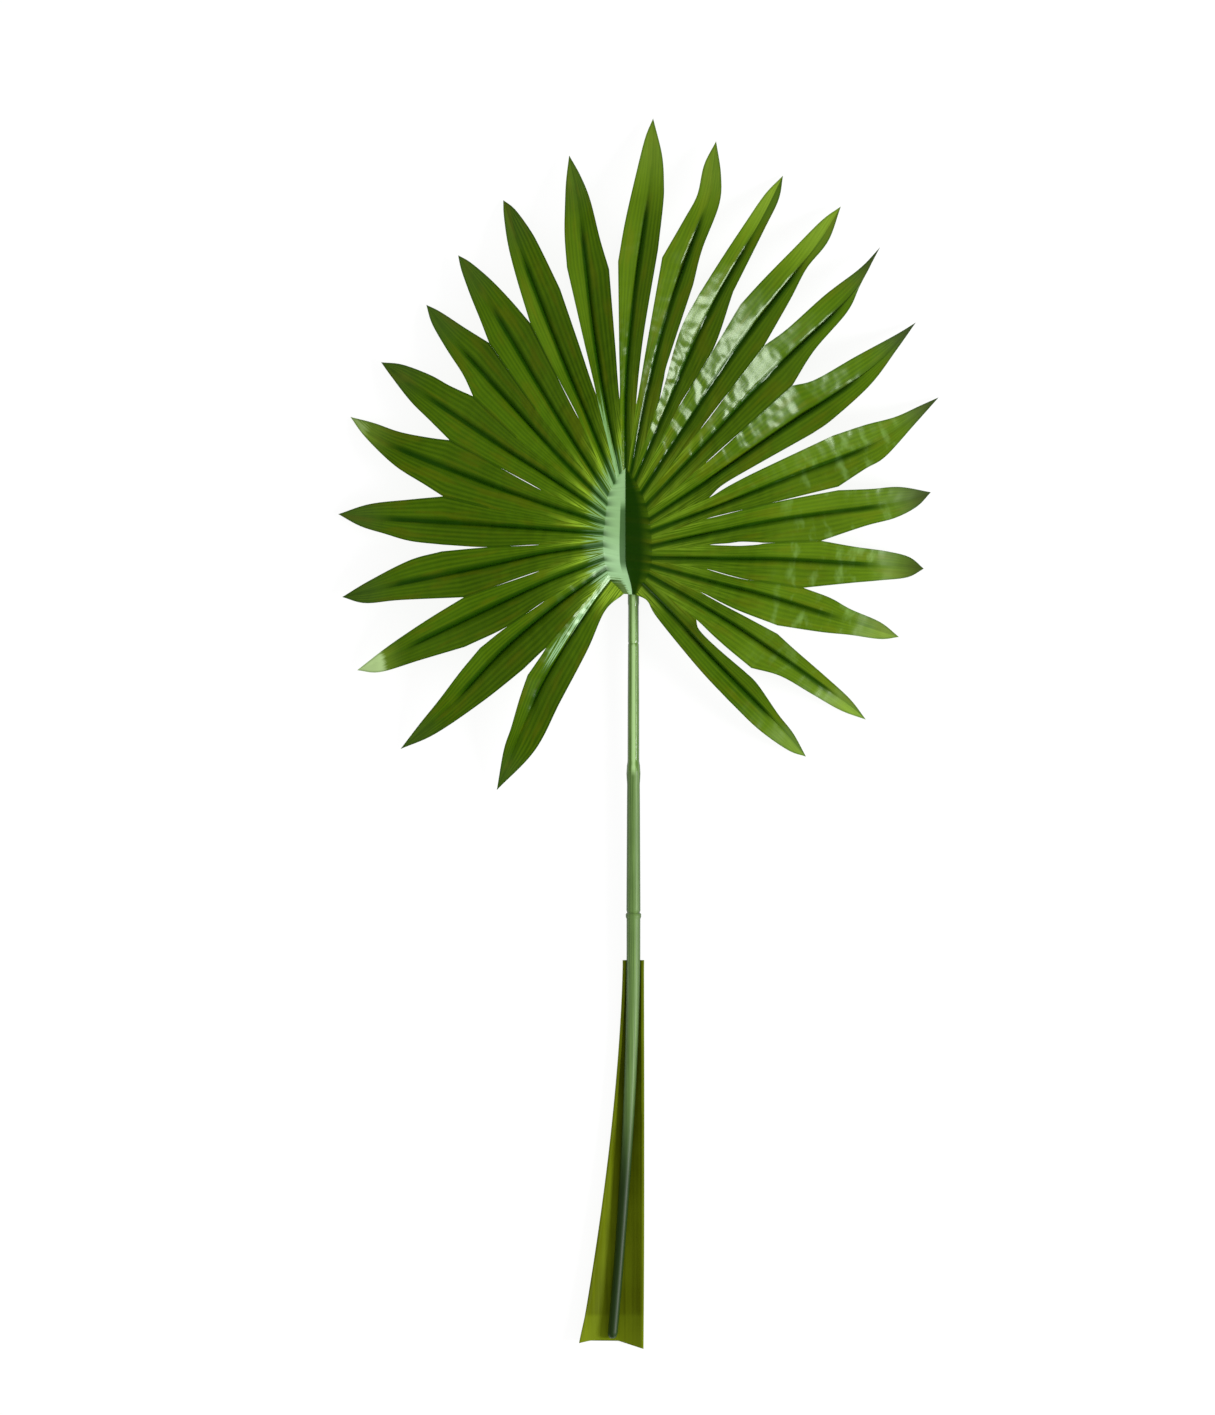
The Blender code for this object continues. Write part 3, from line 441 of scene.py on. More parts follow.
# The stalk from the end of its rib to its foot: place along Y, and radius.
STALK_PROFILE = [
    (RIB_END_Y, 0.35), (23.5, 0.7), (22.0, RIB_END_RADIUS), (10.0, 1.28), (-5.0, 1.66),
    (-16.4, 1.92), (-17.4, 2.1), (-21.6, 2.1), (-22.6, 1.95), (-35.8, 2.0),
    (-36.3, 1.85), (-36.8, 2.02), (-57.4, 2.15), (-80.0, 2.2), (-81.6, 2.45),
    (-84.5, 2.6), (-87.2, 2.45), (-88.6, 2.35), (-94.0, 2.4), (-115.0, 2.5),
    (-135.2, 2.6), (-136.0, 2.35), (-136.5, 2.85), (-137.6, 2.85), (-138.3, 2.55),
    (-153.6, 2.55), (-175.0, 2.45), (-200.0, 2.3), (-225.0, 2.1), (-248.0, 1.95),
    (-265.0, 1.85), (-280.0, 1.85), (-291.8, 1.85), (-292.9, 1.5), (-293.6, 0.8),
]

# Small geometry helpers


def mix(a, b, share):
    return a + (b - a) * share


def mix_points(a, b, share):
    return tuple(mix(one, other, share) for one, other in zip(a, b))


def in_frame(x, y, z):
    """A point in the frame, in metres, from one in the tables."""
    return (x - MIDDLE_X) * MM, (y - MIDDLE_Y) * MM, z * MM


def frame_ys(stretch):
    """The ends of a stretch along Y in the frame, from those in the tables."""
    return [in_frame(0, y, 0)[1] for y in stretch]


def smooth_step(start, end, value):
    share = min(1.0, max(0.0, (value - start) / (end - start)))
    return share * share * (3 - 2 * share)


def length_of(points):
    return sum(math.dist(a, b) for a, b in zip(points, points[1:]))


def share_steps(lengths, steps):
    """How many of the steps each length gets, at least one each, so that they are as even as can be."""
    counts = [1] * len(lengths)
    while sum(counts) < steps:
        longest = max(range(len(lengths)), key=lambda i: lengths[i] / counts[i])
        counts[longest] += 1
    return counts


def catmull_rom(before, start, end, after, t):
    """One coordinate of the curve from start to end, led by the points before and after them."""
    bend = (2 * before - 5 * start + 4 * end - after) * t**2
    twist = (3 * start - before - 3 * end + after) * t**3
    return 0.5 * (2 * start + (end - before) * t + bend + twist)


def curve_through(points):
    """A fine polyline on a Catmull-Rom curve through the given points."""
    ends = [mix_points(points[1], points[0], 2)] + points + [mix_points(points[-2], points[-1], 2)]
    out = [points[0]]
    for k in range(len(points) - 1):
        for i in range(1, CURVE_SAMPLES + 1):
            out.append(tuple(catmull_rom(*four, i / CURVE_SAMPLES) for four in zip(*ends[k : k + 4])))
    return out


def along(points, steps):
    """steps + 1 points at even distances along a fine polyline."""
    reached = [0.0]
    for a, b in zip(points, points[1:]):
        reached.append(reached[-1] + math.dist(a, b))
    out = []
    k = 0
    for i in range(steps + 1):
        wanted = reached[-1] * i / steps
        while k < len(points) - 2 and reached[k + 1] < wanted:
            k += 1
        share = (wanted - reached[k]) / (reached[k + 1] - reached[k])
        out.append(mix_points(points[k], points[k + 1], share))
    return out


# Heights


def valley_share(y):
    return min(1.0, max(0.0, (y - VALLEY_FOOT[1]) / (VALLEY_HEAD[1] - VALLEY_FOOT[1])))


def valley_x(y):
    """The valley runs straight down from its head and then bends to the top of the stalk."""
    return mix(VALLEY_FOOT[0], VALLEY_HEAD[0], smooth_step(VALLEY_FOOT[1], VALLEY_STRAIGHT_FROM_Y, y))


def valley_height(y):
    return VALLEY_FOOT_HEIGHT + VALLEY_RISE * valley_share(y) ** VALLEY_RISE_POWER


def hub_height(x, y):
    """The hub is a valley: its walls rise away from the line where they meet."""
    away = x - valley_x(y)
    return valley_height(y) + (RIGHT_WALL_SLOPE * away if away > 0 else -LEFT_WALL_SLOPE * away)


def arch_height(share, at_hub, at_tip):
    """A segment rises from the hub, arches over and comes down to its tip."""
    rest = 1 - share
    return (
        rest**3 * at_hub
        + 3 * rest**2 * share * (at_hub + RISE_AFTER_HUB)
        + 3 * rest * share**2 * ARCH_BEFORE_TIP
        + share**3 * at_tip
    )


def pleat_depth(share, half_width):
    opening = mix(PLEAT_AT_HUB, 1, smooth_step(0, PLEAT_FULL_FROM, share))
    return PLEAT_SLOPE * half_width * opening * (1 - smooth_step(PLEAT_FADES_FROM, PLEAT_GONE_AT, share))


# Blade

# A place on the blade's outline or on a fold: where it is, its share of the way from the hub
# to the tip, the height that it leaves the hub at and the height of the tip that it leads to.
Place = namedtuple("Place", "x y share at_hub at_tip")

# What the blade's finish reads at a corner of a face: distance from the fold, which is negative on
# its left, and from the hub, in millimetres, the segment's number, share of the length, vein,
# groove, which also sets the painted shade in the fold, open margin, how strong the painted sheen
# and highlight is there, how yellowish pale the leaf is, which is partly painted light, and the
# share of the way down a wall of the hub, which is negative on the right wall, where it sets shade.
Mark = namedtuple("Mark", "from_fold from_hub number share vein groove margin bluish yellow wall")


def relief_profile():
    """The groove along the fold and then the veins, with a low between each two."""
    out = list(GROOVE)
    spacing = (LAST_VEIN_AT - FIRST_VEIN_AT) / (VEIN_COUNT - 1)
    for i in range(VEIN_COUNT):
        vein_at = FIRST_VEIN_AT + i * spacing
        out.append(Relief(vein_at - spacing / 2, 0.0, 0))
        out.append(Relief(vein_at, VEIN_HEIGHT, 1))
    out.append(Relief(mix(LAST_VEIN_AT, 1, 0.5), 0.0, 0))
    out.append(Relief(1.0, 0.0, RIDGE_VEIN))
    return out


def tip_height(segment):
    return BLADE_THICKNESS + segment.clear


def fold_places(segment):
    """The fold's places from the hub to the tip, its length, and the share at which it fades."""
    line = curve_through([segment.root, segment.near, segment.mid, segment.fade, segment.tip])
    at_hub = hub_height(*segment.root)
    at_tip = tip_height(segment)
    places = [Place(x, y, j / STATIONS, at_hub, at_tip) for j, (x, y) in enumerate(along(line, STATIONS))]
    to_fade = line[: Segment._fields.index("fade") * CURVE_SAMPLES + 1]
    return places, length_of(line), length_of(to_fade) / length_of(line)


def hub_edge(number):
    """Where the ridge between two segments leaves the hub: halfway between their folds."""
    if number in (0, len(SEGMENTS)):
        return CUTS[number].slit
    return mix_points(SEGMENTS[number - 1].root, SEGMENTS[number].root, 0.5)


def off_slit(side, slit, direction):
    """The direction in plan from a slit towards the segment on one side of it."""
    shoulder = side.to_shoulder[-1]
    reach = math.dist(slit, shoulder) * direction
    return (slit[1] - shoulder[1]) / reach, (shoulder[0] - slit[0]) / reach


def moved(point, heading, distance):
    return tuple(place + part * distance for place, part in zip(point, heading))


def slit_opening(distance):
    """A slit gapes near its start, and further on its two sides close up."""
    opens = smooth_step(0, SLIT_OPEN_FROM, distance)
    return SLIT_OPENING * opens * (1 - smooth_step(SLIT_OPEN_TO, SLIT_SHUT_AT, distance))


def patch_strength(patch, away, share):
    across = smooth_step(*patch.begins, away) * (1 - smooth_step(*patch.stops, away))
    return patch.strength * (1 - smooth_step(*patch.ends, share)) * across


def sheen_and_paleness(number, side, away, share):
    """Painted sheen, and yellowish pale colour that is partly painted light, on one half of a segment at a
    place.
    """
    left = number < LEFT_OF_VALLEY
    bluish = patch_strength(LEFT_ROOT_SHEEN, away, share) if left else 0.0
    yellow = 0.0 if left else RIGHT_PAINTED_LIGHT
    yellow += sum(patch_strength(patch, away, share) for patch in (LEFT_RIM_LIGHT if left else RIGHT_RIM_LIGHT))
    if number in (LIT_LEFT_HALVES if side < 0 else LIT_RIGHT_HALVES):
        yellow += HALF_PAINTED_LIGHT * smooth_step(*HALF_LIT_ALONG, share)
    if (number, side) in SHEEN_STRIPS:
        bluish = max(bluish, patch_strength(SHEEN_STRIPS[number, side].patch, away, share))
    if (number, side) in OUTER_HALVES:
        bluish = 0.0
        yellow = patch_strength(OUTER_ROOTS, away, share)
    white = TIP_HIGHLIGHTS.get(number, 0.0) * smooth_step(*TIP_HIGHLIGHT_ALONG, share)
    left_tip, right_tip = PALE_AND_LIT_TIPS.get(number, (0.0, 0.0))
    at_tip = left_tip if side < 0 else right_tip
    pale_tip = at_tip * smooth_step(*(LEFT_TIPS_PALE if left else RIGHT_TIPS_PALE), share)
    return max(bluish, white), max(yellow, pale_tip)


def cut_places(number):
    """The places on both sides of a cut, and the station at which the two part."""
    cut = CUTS[number]
    start = hub_edge(number)
    joined = math.dist(start, cut.slit)
    gapes = joined and number not in SHUT_SLITS
    outlines = {}
    for side, segment_index, direction in ((cut.before, number - 1, 1), (cut.after, number, -1)):
        if side:
            to_tip = side.to_shoulder[-1:] + side.to_tip + [SEGMENTS[segment_index].tip]
            lines = (curve_through([cut.slit] + side.to_shoulder), curve_through(to_tip))
            outlines[direction] = (segment_index, lines, off_slit(side, cut.slit, direction))
    free = sum(length_of(a) + length_of(b) for _, (a, b), _ in outlines.values()) / len(outlines)
    parts_at = max(1, round(STATIONS * joined / (joined + free))) if joined else 0
    share_there = joined / (joined + free)
    at_hub = hub_height(*start)
    shared_tip = sum(tip_height(SEGMENTS[i]) for i, _, _ in outlines.values()) / len(outlines)
    places = {}
    for direction, (segment_index, lines, heading) in outlines.items():
        own_tip = tip_height(SEGMENTS[segment_index])
        row = []
        for j in range(parts_at):
            x, y = mix_points(start, cut.slit, j / parts_at)
            row.append(Place(x, y, share_there * j / parts_at, at_hub, shared_tip))
        lengths = [length_of(line) for line in lines]
        counts = share_steps(lengths, STATIONS - parts_at)
        points = along(lines[0], counts[0]) + along(lines[1], counts[1])[1:]
        covered = 0.0
        for i, point in enumerate(points):
            covered += math.dist(points[i - 1], point) if i else 0.0
            freed = covered / sum(lengths)
            opening = slit_opening(covered) / 2 if gapes else 0.0
            x, y = moved(point, heading, opening)
            row.append(Place(x, y, mix(share_there, 1, freed), at_hub, mix(shared_tip, own_tip, freed)))
        places[direction] = row
    return places, parts_at


class Sheet:
    """A sheet of four-sided patches whose corners are shared by name, and each carries its mark."""

    def __init__(self):
        self.points = []
        self.thickness = []
        self.names = {}
        self.patches = []

    def corner(self, name, x, y, z, thickness):
        if name not in self.names:
            self.names[name] = len(self.points)
            self.points.append(in_frame(x, y, z))
            self.thickness.append(thickness * MM)
        return self.names[name]

    def fill(self, *corners):
        """A patch from (corner, mark) pairs, without the corners that coincide."""
        self.patches.append([c for i, c in enumerate(corners) if c[0] != corners[i - 1][0]])

    def solid(self, name):
        """The closed mesh: the sheet, the same sheet below it, and a wall along every open edge."""
        count = len(self.points)
        lower = [(x, y, z - t) for (x, y, z), t in zip(self.points, self.thickness)]
        upper_loops = [[(c, mark, 0.0) for c, mark in patch] for patch in self.patches]
        lower_loops = [[(c + count, mark, 1.0) for c, mark in reversed(patch)] for patch in self.patches]
        open_edges = {}
        for patch in self.patches:
            for i, (c, mark) in enumerate(patch):
                before, before_mark = patch[i - 1]
                if open_edges.pop((c, before), None) is None:
                    open_edges[(before, c)] = (before_mark, mark)
        walls = [
            [(b, mark_b, 0.0), (a, mark_a, 0.0), (a + count, mark_a, 1.0), (b + count, mark_b, 1.0)]
            for (a, b), (mark_a, mark_b) in open_edges.items()
        ]
        loops = upper_loops + lower_loops + walls
        mesh = bpy.data.meshes.new(name)
        mesh.from_pydata(self.points + lower, [], [[c for c, _, _ in loop] for loop in loops])
        marks = np.array([[*mark, under] for loop in loops for _, mark, under in loop], np.float32)
        for i, field in enumerate((*Mark._fields, "under")):
            attribute = mesh.attributes.new(field, "FLOAT", "CORNER")
            attribute.data.foreach_set("value", np.ascontiguousarray(marks[:, i]))
        return mesh


def corner_name(number, j, i, last, parts):
    """A ridge is shared with the next segment, as far as the station where the two part."""
    if j == STATIONS:
        return ("tip", number)
    if i == 0 and j <= parts:
        return ("ridge", number, j)
    if i == last and j <= parts:
        return ("ridge", number + 1, j)
    return ("segment", number, j, i)


def segment_rows(sheet, number, before, after, before_parts, after_parts, profile):
    """One segment's (corner, mark) pairs, a row for each station, from its left edge to its right."""
    fold, length, fades_at = fold_places(SEGMENTS[number])
    steps = [(-1, r) for r in reversed(profile)] + [(1, r) for r in profile[1:]]
    rows = []
    for j in range(STATIONS + 1):
        row = []
        groove = 1 - smooth_step(fades_at - GROOVE_ENDS_BEFORE_FADE, fades_at, j / STATIONS)
        for i, (side, relief) in enumerate(steps):
            edge = before[j] if side < 0 else after[j]
            parts = before_parts if side < 0 else after_parts
            name = corner_name(number, j, i, len(steps) - 1, parts)
            x = mix(fold[j].x, edge.x, relief.away)
            y = mix(fold[j].y, edge.y, relief.away)
            share = mix(fold[j].share, edge.share, relief.away)
            half_width = math.dist((fold[j].x, fold[j].y), (edge.x, edge.y))
            at_hub = mix(fold[j].at_hub, edge.at_hub, relief.away)
            at_tip = mix(fold[j].at_tip, edge.at_tip, relief.away)
            z = arch_height(share, at_hub, at_tip) - pleat_depth(share, half_width) * (1 - relief.away)
            strength = min(1.0, half_width / FULL_RELIEF_WIDTH) * smooth_step(0, FULL_RELIEF_FROM, share)
            strength *= groove if relief in GROOVE else 1.0
            z += relief.height * strength
            margin = 1 - smooth_step(0, THIN_WITHIN, half_width * (1 - relief.away)) if j > parts else 0.0
            from_fold = side * half_width * relief.away
            # Painted sheen, and yellowish pale colour that is partly painted light
            pale = sheen_and_paleness(number, side, relief.away, share)
            # How strong the painted shade in the fold is
            dark = groove
            if (number, side) in SHEEN_STRIPS:
                dark *= smooth_step(*SHEEN_STRIPS[number, side].fold_darkens, share)
            mark = Mark(from_fold, length * share, number, share, relief.vein, dark, margin, *pale, 0.0)
            thickness = mix(BLADE_THICKNESS, EDGE_THICKNESS, margin)
            row.append((sheet.corner(name, x, y, z, thickness), mark))
        rows.append(row)
    return rows


def add_hub(sheet, rim):
    """Fills the hub: two walls from the rim down to the valley between them."""
    half = len(rim) // 2

    def flat(corner):
        x, y, z = sheet.points[corner]
        return x / MM + MIDDLE_X, y / MM + MIDDLE_Y, z / MM

    def wall_point(i, row, side):
        start, mark = rim[i] if side == "left" else rim[-1 - i]
        down = row / HUB_ROWS
        rim_x, rim_y, rim_z = flat(start)
        low = 1 - smooth_step(*LOW_RIM_Y, rim_y)
        # The left wall has the painted sheen; the right wall's negative share sets its painted shade
        mark = mark._replace(
            bluish=mix(1.0, smooth_step(*CREASE_SHEEN, down), low) if side == "left" else 0.0,
            yellow=0.0,
            groove=mark.groove * (1 - down) ** WALL_GROOVE_POWER,
            vein=mark.vein * (1 - down),
            wall=down if side == "left" else -down,
        )
        if row == 0 or i == half:
            return start, mark
        valley_y = (flat(rim[i][0])[1] + flat(rim[-1 - i][0])[1]) / 2
        x = mix(rim_x, valley_x(valley_y), down)
        y = mix(rim_y, valley_y, down)
        pleat = (rim_z - hub_height(rim_x, rim_y)) * (1 - down) ** WALL_PLEAT_POWER
        name = ("valley", i) if row == HUB_ROWS else ("wall", side, i, row)
        return sheet.corner(name, x, y, hub_height(x, y) + pleat, BLADE_THICKNESS), mark

    for side in ("left", "right"):
        for i in range(half):
            for row in range(HUB_ROWS):
                patch = [
                    wall_point(i, row, side),
                    wall_point(i + 1, row, side),
                    wall_point(i + 1, row + 1, side),
                    wall_point(i, row + 1, side),
                ]
                sheet.fill(*(patch if side == "left" else reversed(patch)))


def make_blade():
    sheet = Sheet()
    profile = relief_profile()
    cuts = [cut_places(number) for number in range(len(CUTS))]
    rim = []
    for number in range(len(SEGMENTS)):
        (before, before_parts), (after, after_parts) = cuts[number], cuts[number + 1]
        rows = segment_rows(sheet, number, before[-1], after[1], before_parts, after_parts, profile)
        for near, far in zip(rows, rows[1:]):
            for i in range(len(near) - 1):
                sheet.fill(near[i + 1], near[i], far[i], far[i + 1])
        rim += rows[0] if not rim else rows[0][1:]
    add_hub(sheet, rim)
    mesh = sheet.solid("fan_blade")
    blade = finish(mesh, "fan_blade", SHARP_BLADE)
    add_plan_map(mesh)
    return blade


def add_plan_map(mesh):
    """A texture map with the blade's upper side and its under side next to each other, in plan."""
    layer = mesh.uv_layers.new(name="OFBake")
    corners = np.empty(len(mesh.loops), np.int32)
    mesh.loops.foreach_get("vertex_index", corners)
    places = np.empty(len(mesh.vertices) * 3, np.float32)
    mesh.vertices.foreach_get("co", places)
    places = places.reshape(-1, 3)[corners]
    under = np.empty(len(mesh.loops), np.float32)
    mesh.attributes["under"].data.foreach_get("value", under)
    u = places[:, 0] / MAP_SIDE + HALF_MAP / 2 + HALF_MAP * under
    v = (places[:, 1] - MAP_FOOT_Y) / MAP_SIDE
    layer.data.foreach_set("uv", np.column_stack([u, v]).astype(np.float32).ravel())


# Stalk and sheath


def axis_x(y):
    """The stalk is straight down to BEND_START_Y, and then leans away to the left."""
    below = max(0.0, (BEND_START_Y - y) / BEND_LENGTH)
    return UPPER_STALK_X - BEND_AWAY * below**BEND_POWER


def keel_height(y):
    above = max(0.0, (y - FLAT_KEEL_TO_Y) / (SHEATH_TOP_Y - FLAT_KEEL_TO_Y))
    return KEEL_RISE * above**2


def radius_at(y):
    for (upper_y, upper), (lower_y, lower) in zip(STALK_PROFILE, STALK_PROFILE[1:]):
        if lower_y <= y <= upper_y:
            return mix(upper, lower, (upper_y - y) / (upper_y - lower_y))
    return STALK_PROFILE[-1][1]


def axis_height(y, radius):
    """In the sheath the stalk lies just clear of its floor, and under the hub just clear of the valley."""
    seat = SHEATH_THICKNESS + PIECE_GAP
    under_blade = BLADE_THICKNESS + PIECE_GAP
    if y <= SHEATH_TOP_Y:
        return keel_height(y) + seat + radius
    if y >= STALK_TOP_Y:
        rib = mix(STALK_TOP_RADIUS, RIB_END_RADIUS, (y - STALK_TOP_Y) / (RIB_END_Y - STALK_TOP_Y))
        return valley_height(y) - under_blade - rib
    lower = axis_height(SHEATH_TOP_Y, radius_at(SHEATH_TOP_Y))
    upper = axis_height(STALK_TOP_Y, STALK_TOP_RADIUS)
    return mix(lower, upper, (y - SHEATH_TOP_Y) / (STALK_TOP_Y - SHEATH_TOP_Y))


def tube(name, rings, sharp_from):
    """A closed mesh through rings of points with the same count, capped at both ends."""
    count = len(rings[0])
    points = [in_frame(*point) for ring in rings for point in ring]
    faces = []
    for k in range(len(rings) - 1):
        for i in range(count):
            after = (i + 1) % count
            faces.append((k * count + i, (k + 1) * count + i, (k + 1) * count + after, k * count + after))
    faces.append(tuple(range(count)))
    faces.append(tuple(reversed(range((len(rings) - 1) * count, len(rings) * count))))
    mesh = bpy.data.meshes.new(name)
    mesh.from_pydata(points, [], faces)
    return finish(mesh, name, sharp_from)


def make_stalk():
    steps = round((RIB_END_Y - STALK_PROFILE[-1][0]) / STALK_STEP)
    places = {mix(RIB_END_Y, STALK_PROFILE[-1][0], i / steps) for i in range(steps + 1)}
    places |= {y for y, _ in STALK_PROFILE}
    foot_radius = radius_at(FOOT_EVEN_BELOW_Y)
    rings = []
    for y in sorted(places, reverse=True):
        radius = radius_at(y)
        z = axis_height(y, foot_radius if y < FOOT_EVEN_BELOW_Y else radius)
        ridge = STALK_RIDGE_HEIGHT * smooth_step(STALK_TOP_Y, STALK_TOP_Y - RIDGES_GROW_OVER, y)
        ring = []
        for i in range(STALK_SIDES):
            angle = 2 * math.pi * i / STALK_SIDES
            reach = radius - ridge * (1 - math.cos(STALK_RIDGES * angle)) / 2
            ring.append((axis_x(y) + reach * math.sin(angle), y, z + reach * math.cos(angle)))
        rings.append(ring)
    stalk = tube("ringed_stalk", rings, SHARP_STALK)
    upward = stalk.data.attributes.new("up", "FLOAT", "POINT")
    upward.data.foreach_set("value", [vertex.normal.z for vertex in stalk.data.vertices])
    return stalk


def sheath_cut(across):
    """How far the cut at the foot lies above FOOT_REACH, from -1 at its left end to 1 at its right."""
    return SHEATH_CUT_DEPTH * (1 - across**2) + SHEATH_CUT_SLANT * (1 - across) / 2


def sheath_section(share):
    """The closed outline of the channel at a share of its length: its outer arc, then its inner one."""
    y = mix(SHEATH_TOP_Y, FOOT_REACH, share)
    half_width = mix(SHEATH_TOP_HALF_WIDTH, SHEATH_HALF_WIDTH, share**SHEATH_FLARE_POWER)
    half_angle = mix(SHEATH_TOP_ANGLE, SHEATH_FOOT_ANGLE, share**SHEATH_OPENING_POWER)
    outer = half_width / math.sin(half_angle)
    section = []
    for inside, order in ((False, 1), (True, -1)):
        for i in range(SHEATH_STEPS_ACROSS + 1):
            across = order * (2 * i / SHEATH_STEPS_ACROSS - 1)
            to_edge = 1 - abs(across)
            rounding = SHEATH_ROUNDING * (1 - smooth_step(0, SHEATH_LIP_WIDTH, to_edge))
            radius = outer - rounding
            if inside:
                lip = SHEATH_LIP * (1 - smooth_step(0, 2 * SHEATH_LIP_WIDTH, to_edge))
                step = SHEATH_STEP_DEPTH * smooth_step(*SHEATH_STEP_Y, y)
                radius = outer - SHEATH_THICKNESS - lip + step + 2 * rounding
            x = radius * math.sin(across * half_angle)
            cut = sheath_cut(x / half_width) * smooth_step(SHEATH_CUT_FROM, 1, share)
            z = keel_height(y) + outer - radius * math.cos(across * half_angle)
            section.append((axis_x(y) + x, y + cut, z))
    return section


def make_sheath():
    rings = [sheath_section(k / SHEATH_STATIONS) for k in range(SHEATH_STATIONS + 1)]
    return tube("flared_sheath", rings, SHARP_SHEATH)


def put_in_scene(name, data):
    made = bpy.data.objects.new(name, data)
    bpy.context.scene.collection.objects.link(made)
    return made


def finish(mesh, name, sharp_from):
    """A smooth-shaded object from the mesh, with its faces pointing out."""
    bm = bmesh.new()
    bm.from_mesh(mesh)
    bmesh.ops.recalc_face_normals(bm, faces=bm.faces)
    bm.to_mesh(mesh)
    bm.free()
    mesh.shade_smooth()
    mesh.set_sharp_from_angle(angle=sharp_from)
    return put_in_scene(name, mesh)


# Finishes


class Finish:
    """A node material, with short calls that add nodes and return their sockets."""

    def __init__(self, name):
        self.material = bpy.data.materials.new(name)
        self.material.use_nodes = True
        self.nodes = self.material.node_tree.nodes
        self.links = self.material.node_tree.links
        self.shader = self.nodes["Principled BSDF"]

    def put(self, socket, value):
        if isinstance(value, bpy.types.NodeSocket):
            self.links.new(value, socket)
        else:
            socket.default_value = value

    def attribute(self, name):
        node = self.nodes.new("ShaderNodeAttribute")
        node.attribute_name = name
        return node.outputs["Fac"]

    def place(self):
        return self.nodes.new("ShaderNodeTexCoord").outputs["Object"]

    def combine(self, operation, values):
        """The first value and the second, then the result and the third, and so on."""
        result, *others = values
        for other in others:
            node = self.nodes.new("ShaderNodeMath")
            node.operation = operation
            self.put(node.inputs[0], result)
            self.put(node.inputs[1], other)
            result = node.outputs[0]
        return result

    def product(self, *values):
        return self.combine("MULTIPLY", values)

    def total(self, *values):
        return self.combine("ADD", values)

    def split(self, vector):
        node = self.nodes.new("ShaderNodeSeparateXYZ")
        self.put(node.inputs[0], vector)
        return node.outputs

    def join(self, x, y, z=0.0):
        node = self.nodes.new("ShaderNodeCombineXYZ")
        for socket, value in zip(node.inputs, (x, y, z)):
            self.put(socket, value)
        return node.outputs[0]

    def fade(self, value, start, end, low=0.0, high=1.0):
        """low where value is at start, high where it is at end, and a smooth turn between them."""
        node = self.nodes.new("ShaderNodeMapRange")
        node.interpolation_type = "SMOOTHSTEP"
        for socket, number in zip(node.inputs, (value, start, end, low, high)):
            self.put(socket, number)
        return node.outputs[0]

    def span(self, value, rising, falling):
        return self.product(self.fade(value, *rising), self.fade(value, *falling))

    def noise(self, vector, scale, detail):
        node = self.nodes.new("ShaderNodeTexNoise")
        self.put(node.inputs["Vector"], vector)
        self.put(node.inputs["Scale"], scale)
        self.put(node.inputs["Detail"], detail)
        return node.outputs["Fac"]

    def grained(self, grain, x, y, z=0.0):
        """Noise that is stretched along Y, and has another pattern at another z."""
        place = self.join(self.product(x, grain.across), self.product(y, grain.along), z)
        return self.noise(place, 1.0, grain.detail)

    def blend(self, factor, a, b):
        node = self.nodes.new("ShaderNodeMix")
        node.data_type = "RGBA"
        sockets = [s for s in node.inputs if s.type == "RGBA"]
        self.put(node.inputs["Factor"], factor)
        for socket, value in zip(sockets, (a, b)):
            self.put(socket, (*value, 1.0) if isinstance(value, tuple) else value)
        return next(s for s in node.outputs if s.type == "RGBA")

    def bump(self, height, distance):
        node = self.nodes.new("ShaderNodeBump")
        self.put(node.inputs["Height"], height)
        self.put(node.inputs["Distance"], distance)
        return node.outputs["Normal"]

    def shade(self, **values):
        """Sets or links the shader's sockets, whose names are written here with _ for a space."""
        for name, value in values.items():
            self.put(self.shader.inputs[name.replace("_", " ")], value)
        return self.material


def on_segments(f, grain):
    """Noise that follows the segments, with a pattern of its own on each."""
    spread = f.product(f.attribute("number"), SEGMENT_SPREAD)
    return f.grained(grain, f.attribute("from_fold"), f.attribute("from_hub"), spread)


def brown_tips(f):
    browning = f.fade(f.attribute("share"), *BROWN_TIPS)
    return f.product(f.span(f.attribute("number"), *BROWN_SEGMENTS), browning)


# Painted highlights: pale cross bars like gloss on the ripples of five right-hand segments
def painted_gloss_bars(f):
    segments = f.span(f.attribute("number"), *GLOSS_BAR_SEGMENTS)
    stretch = f.span(f.attribute("share"), *GLOSS_BARS_ALONG)
    return f.product(f.fade(on_segments(f, GLOSS_BAR_GRAIN), *GLOSS_BARS), segments, stretch)


def wall_shade_strip(f):
    """Painted shade: the dark strip on the hub's left wall, beside the crease, where the wall steepens."""
    across = f.fade(f.attribute("wall"), *WALL_STRIP)
    down = f.span(f.split(f.place())[1], *map(frame_ys, WALL_STRIP_Y))
    return f.product(across, down, WALL_STRIP_SHADE)


def leaf_green(f, clouds):
    """Clouded green with veins, dark streaks and olive blotches."""
    streaks = on_segments(f, STREAK_GRAIN)
    veins = f.product(f.attribute("vein"), f.fade(streaks, *VEINS_BY_STREAKS))
    colour = f.blend(f.fade(clouds, *EVENLY), LEAF_DEEP, LEAF_MID)
    colour = f.blend(veins, colour, LEAF_VEIN)
    colour = f.blend(f.fade(streaks, *DARK_STREAKS), colour, LEAF_DEEP)
    return f.blend(f.fade(on_segments(f, BLOTCH_GRAIN), *BLOTCHES), colour, LEAF_OLIVE)


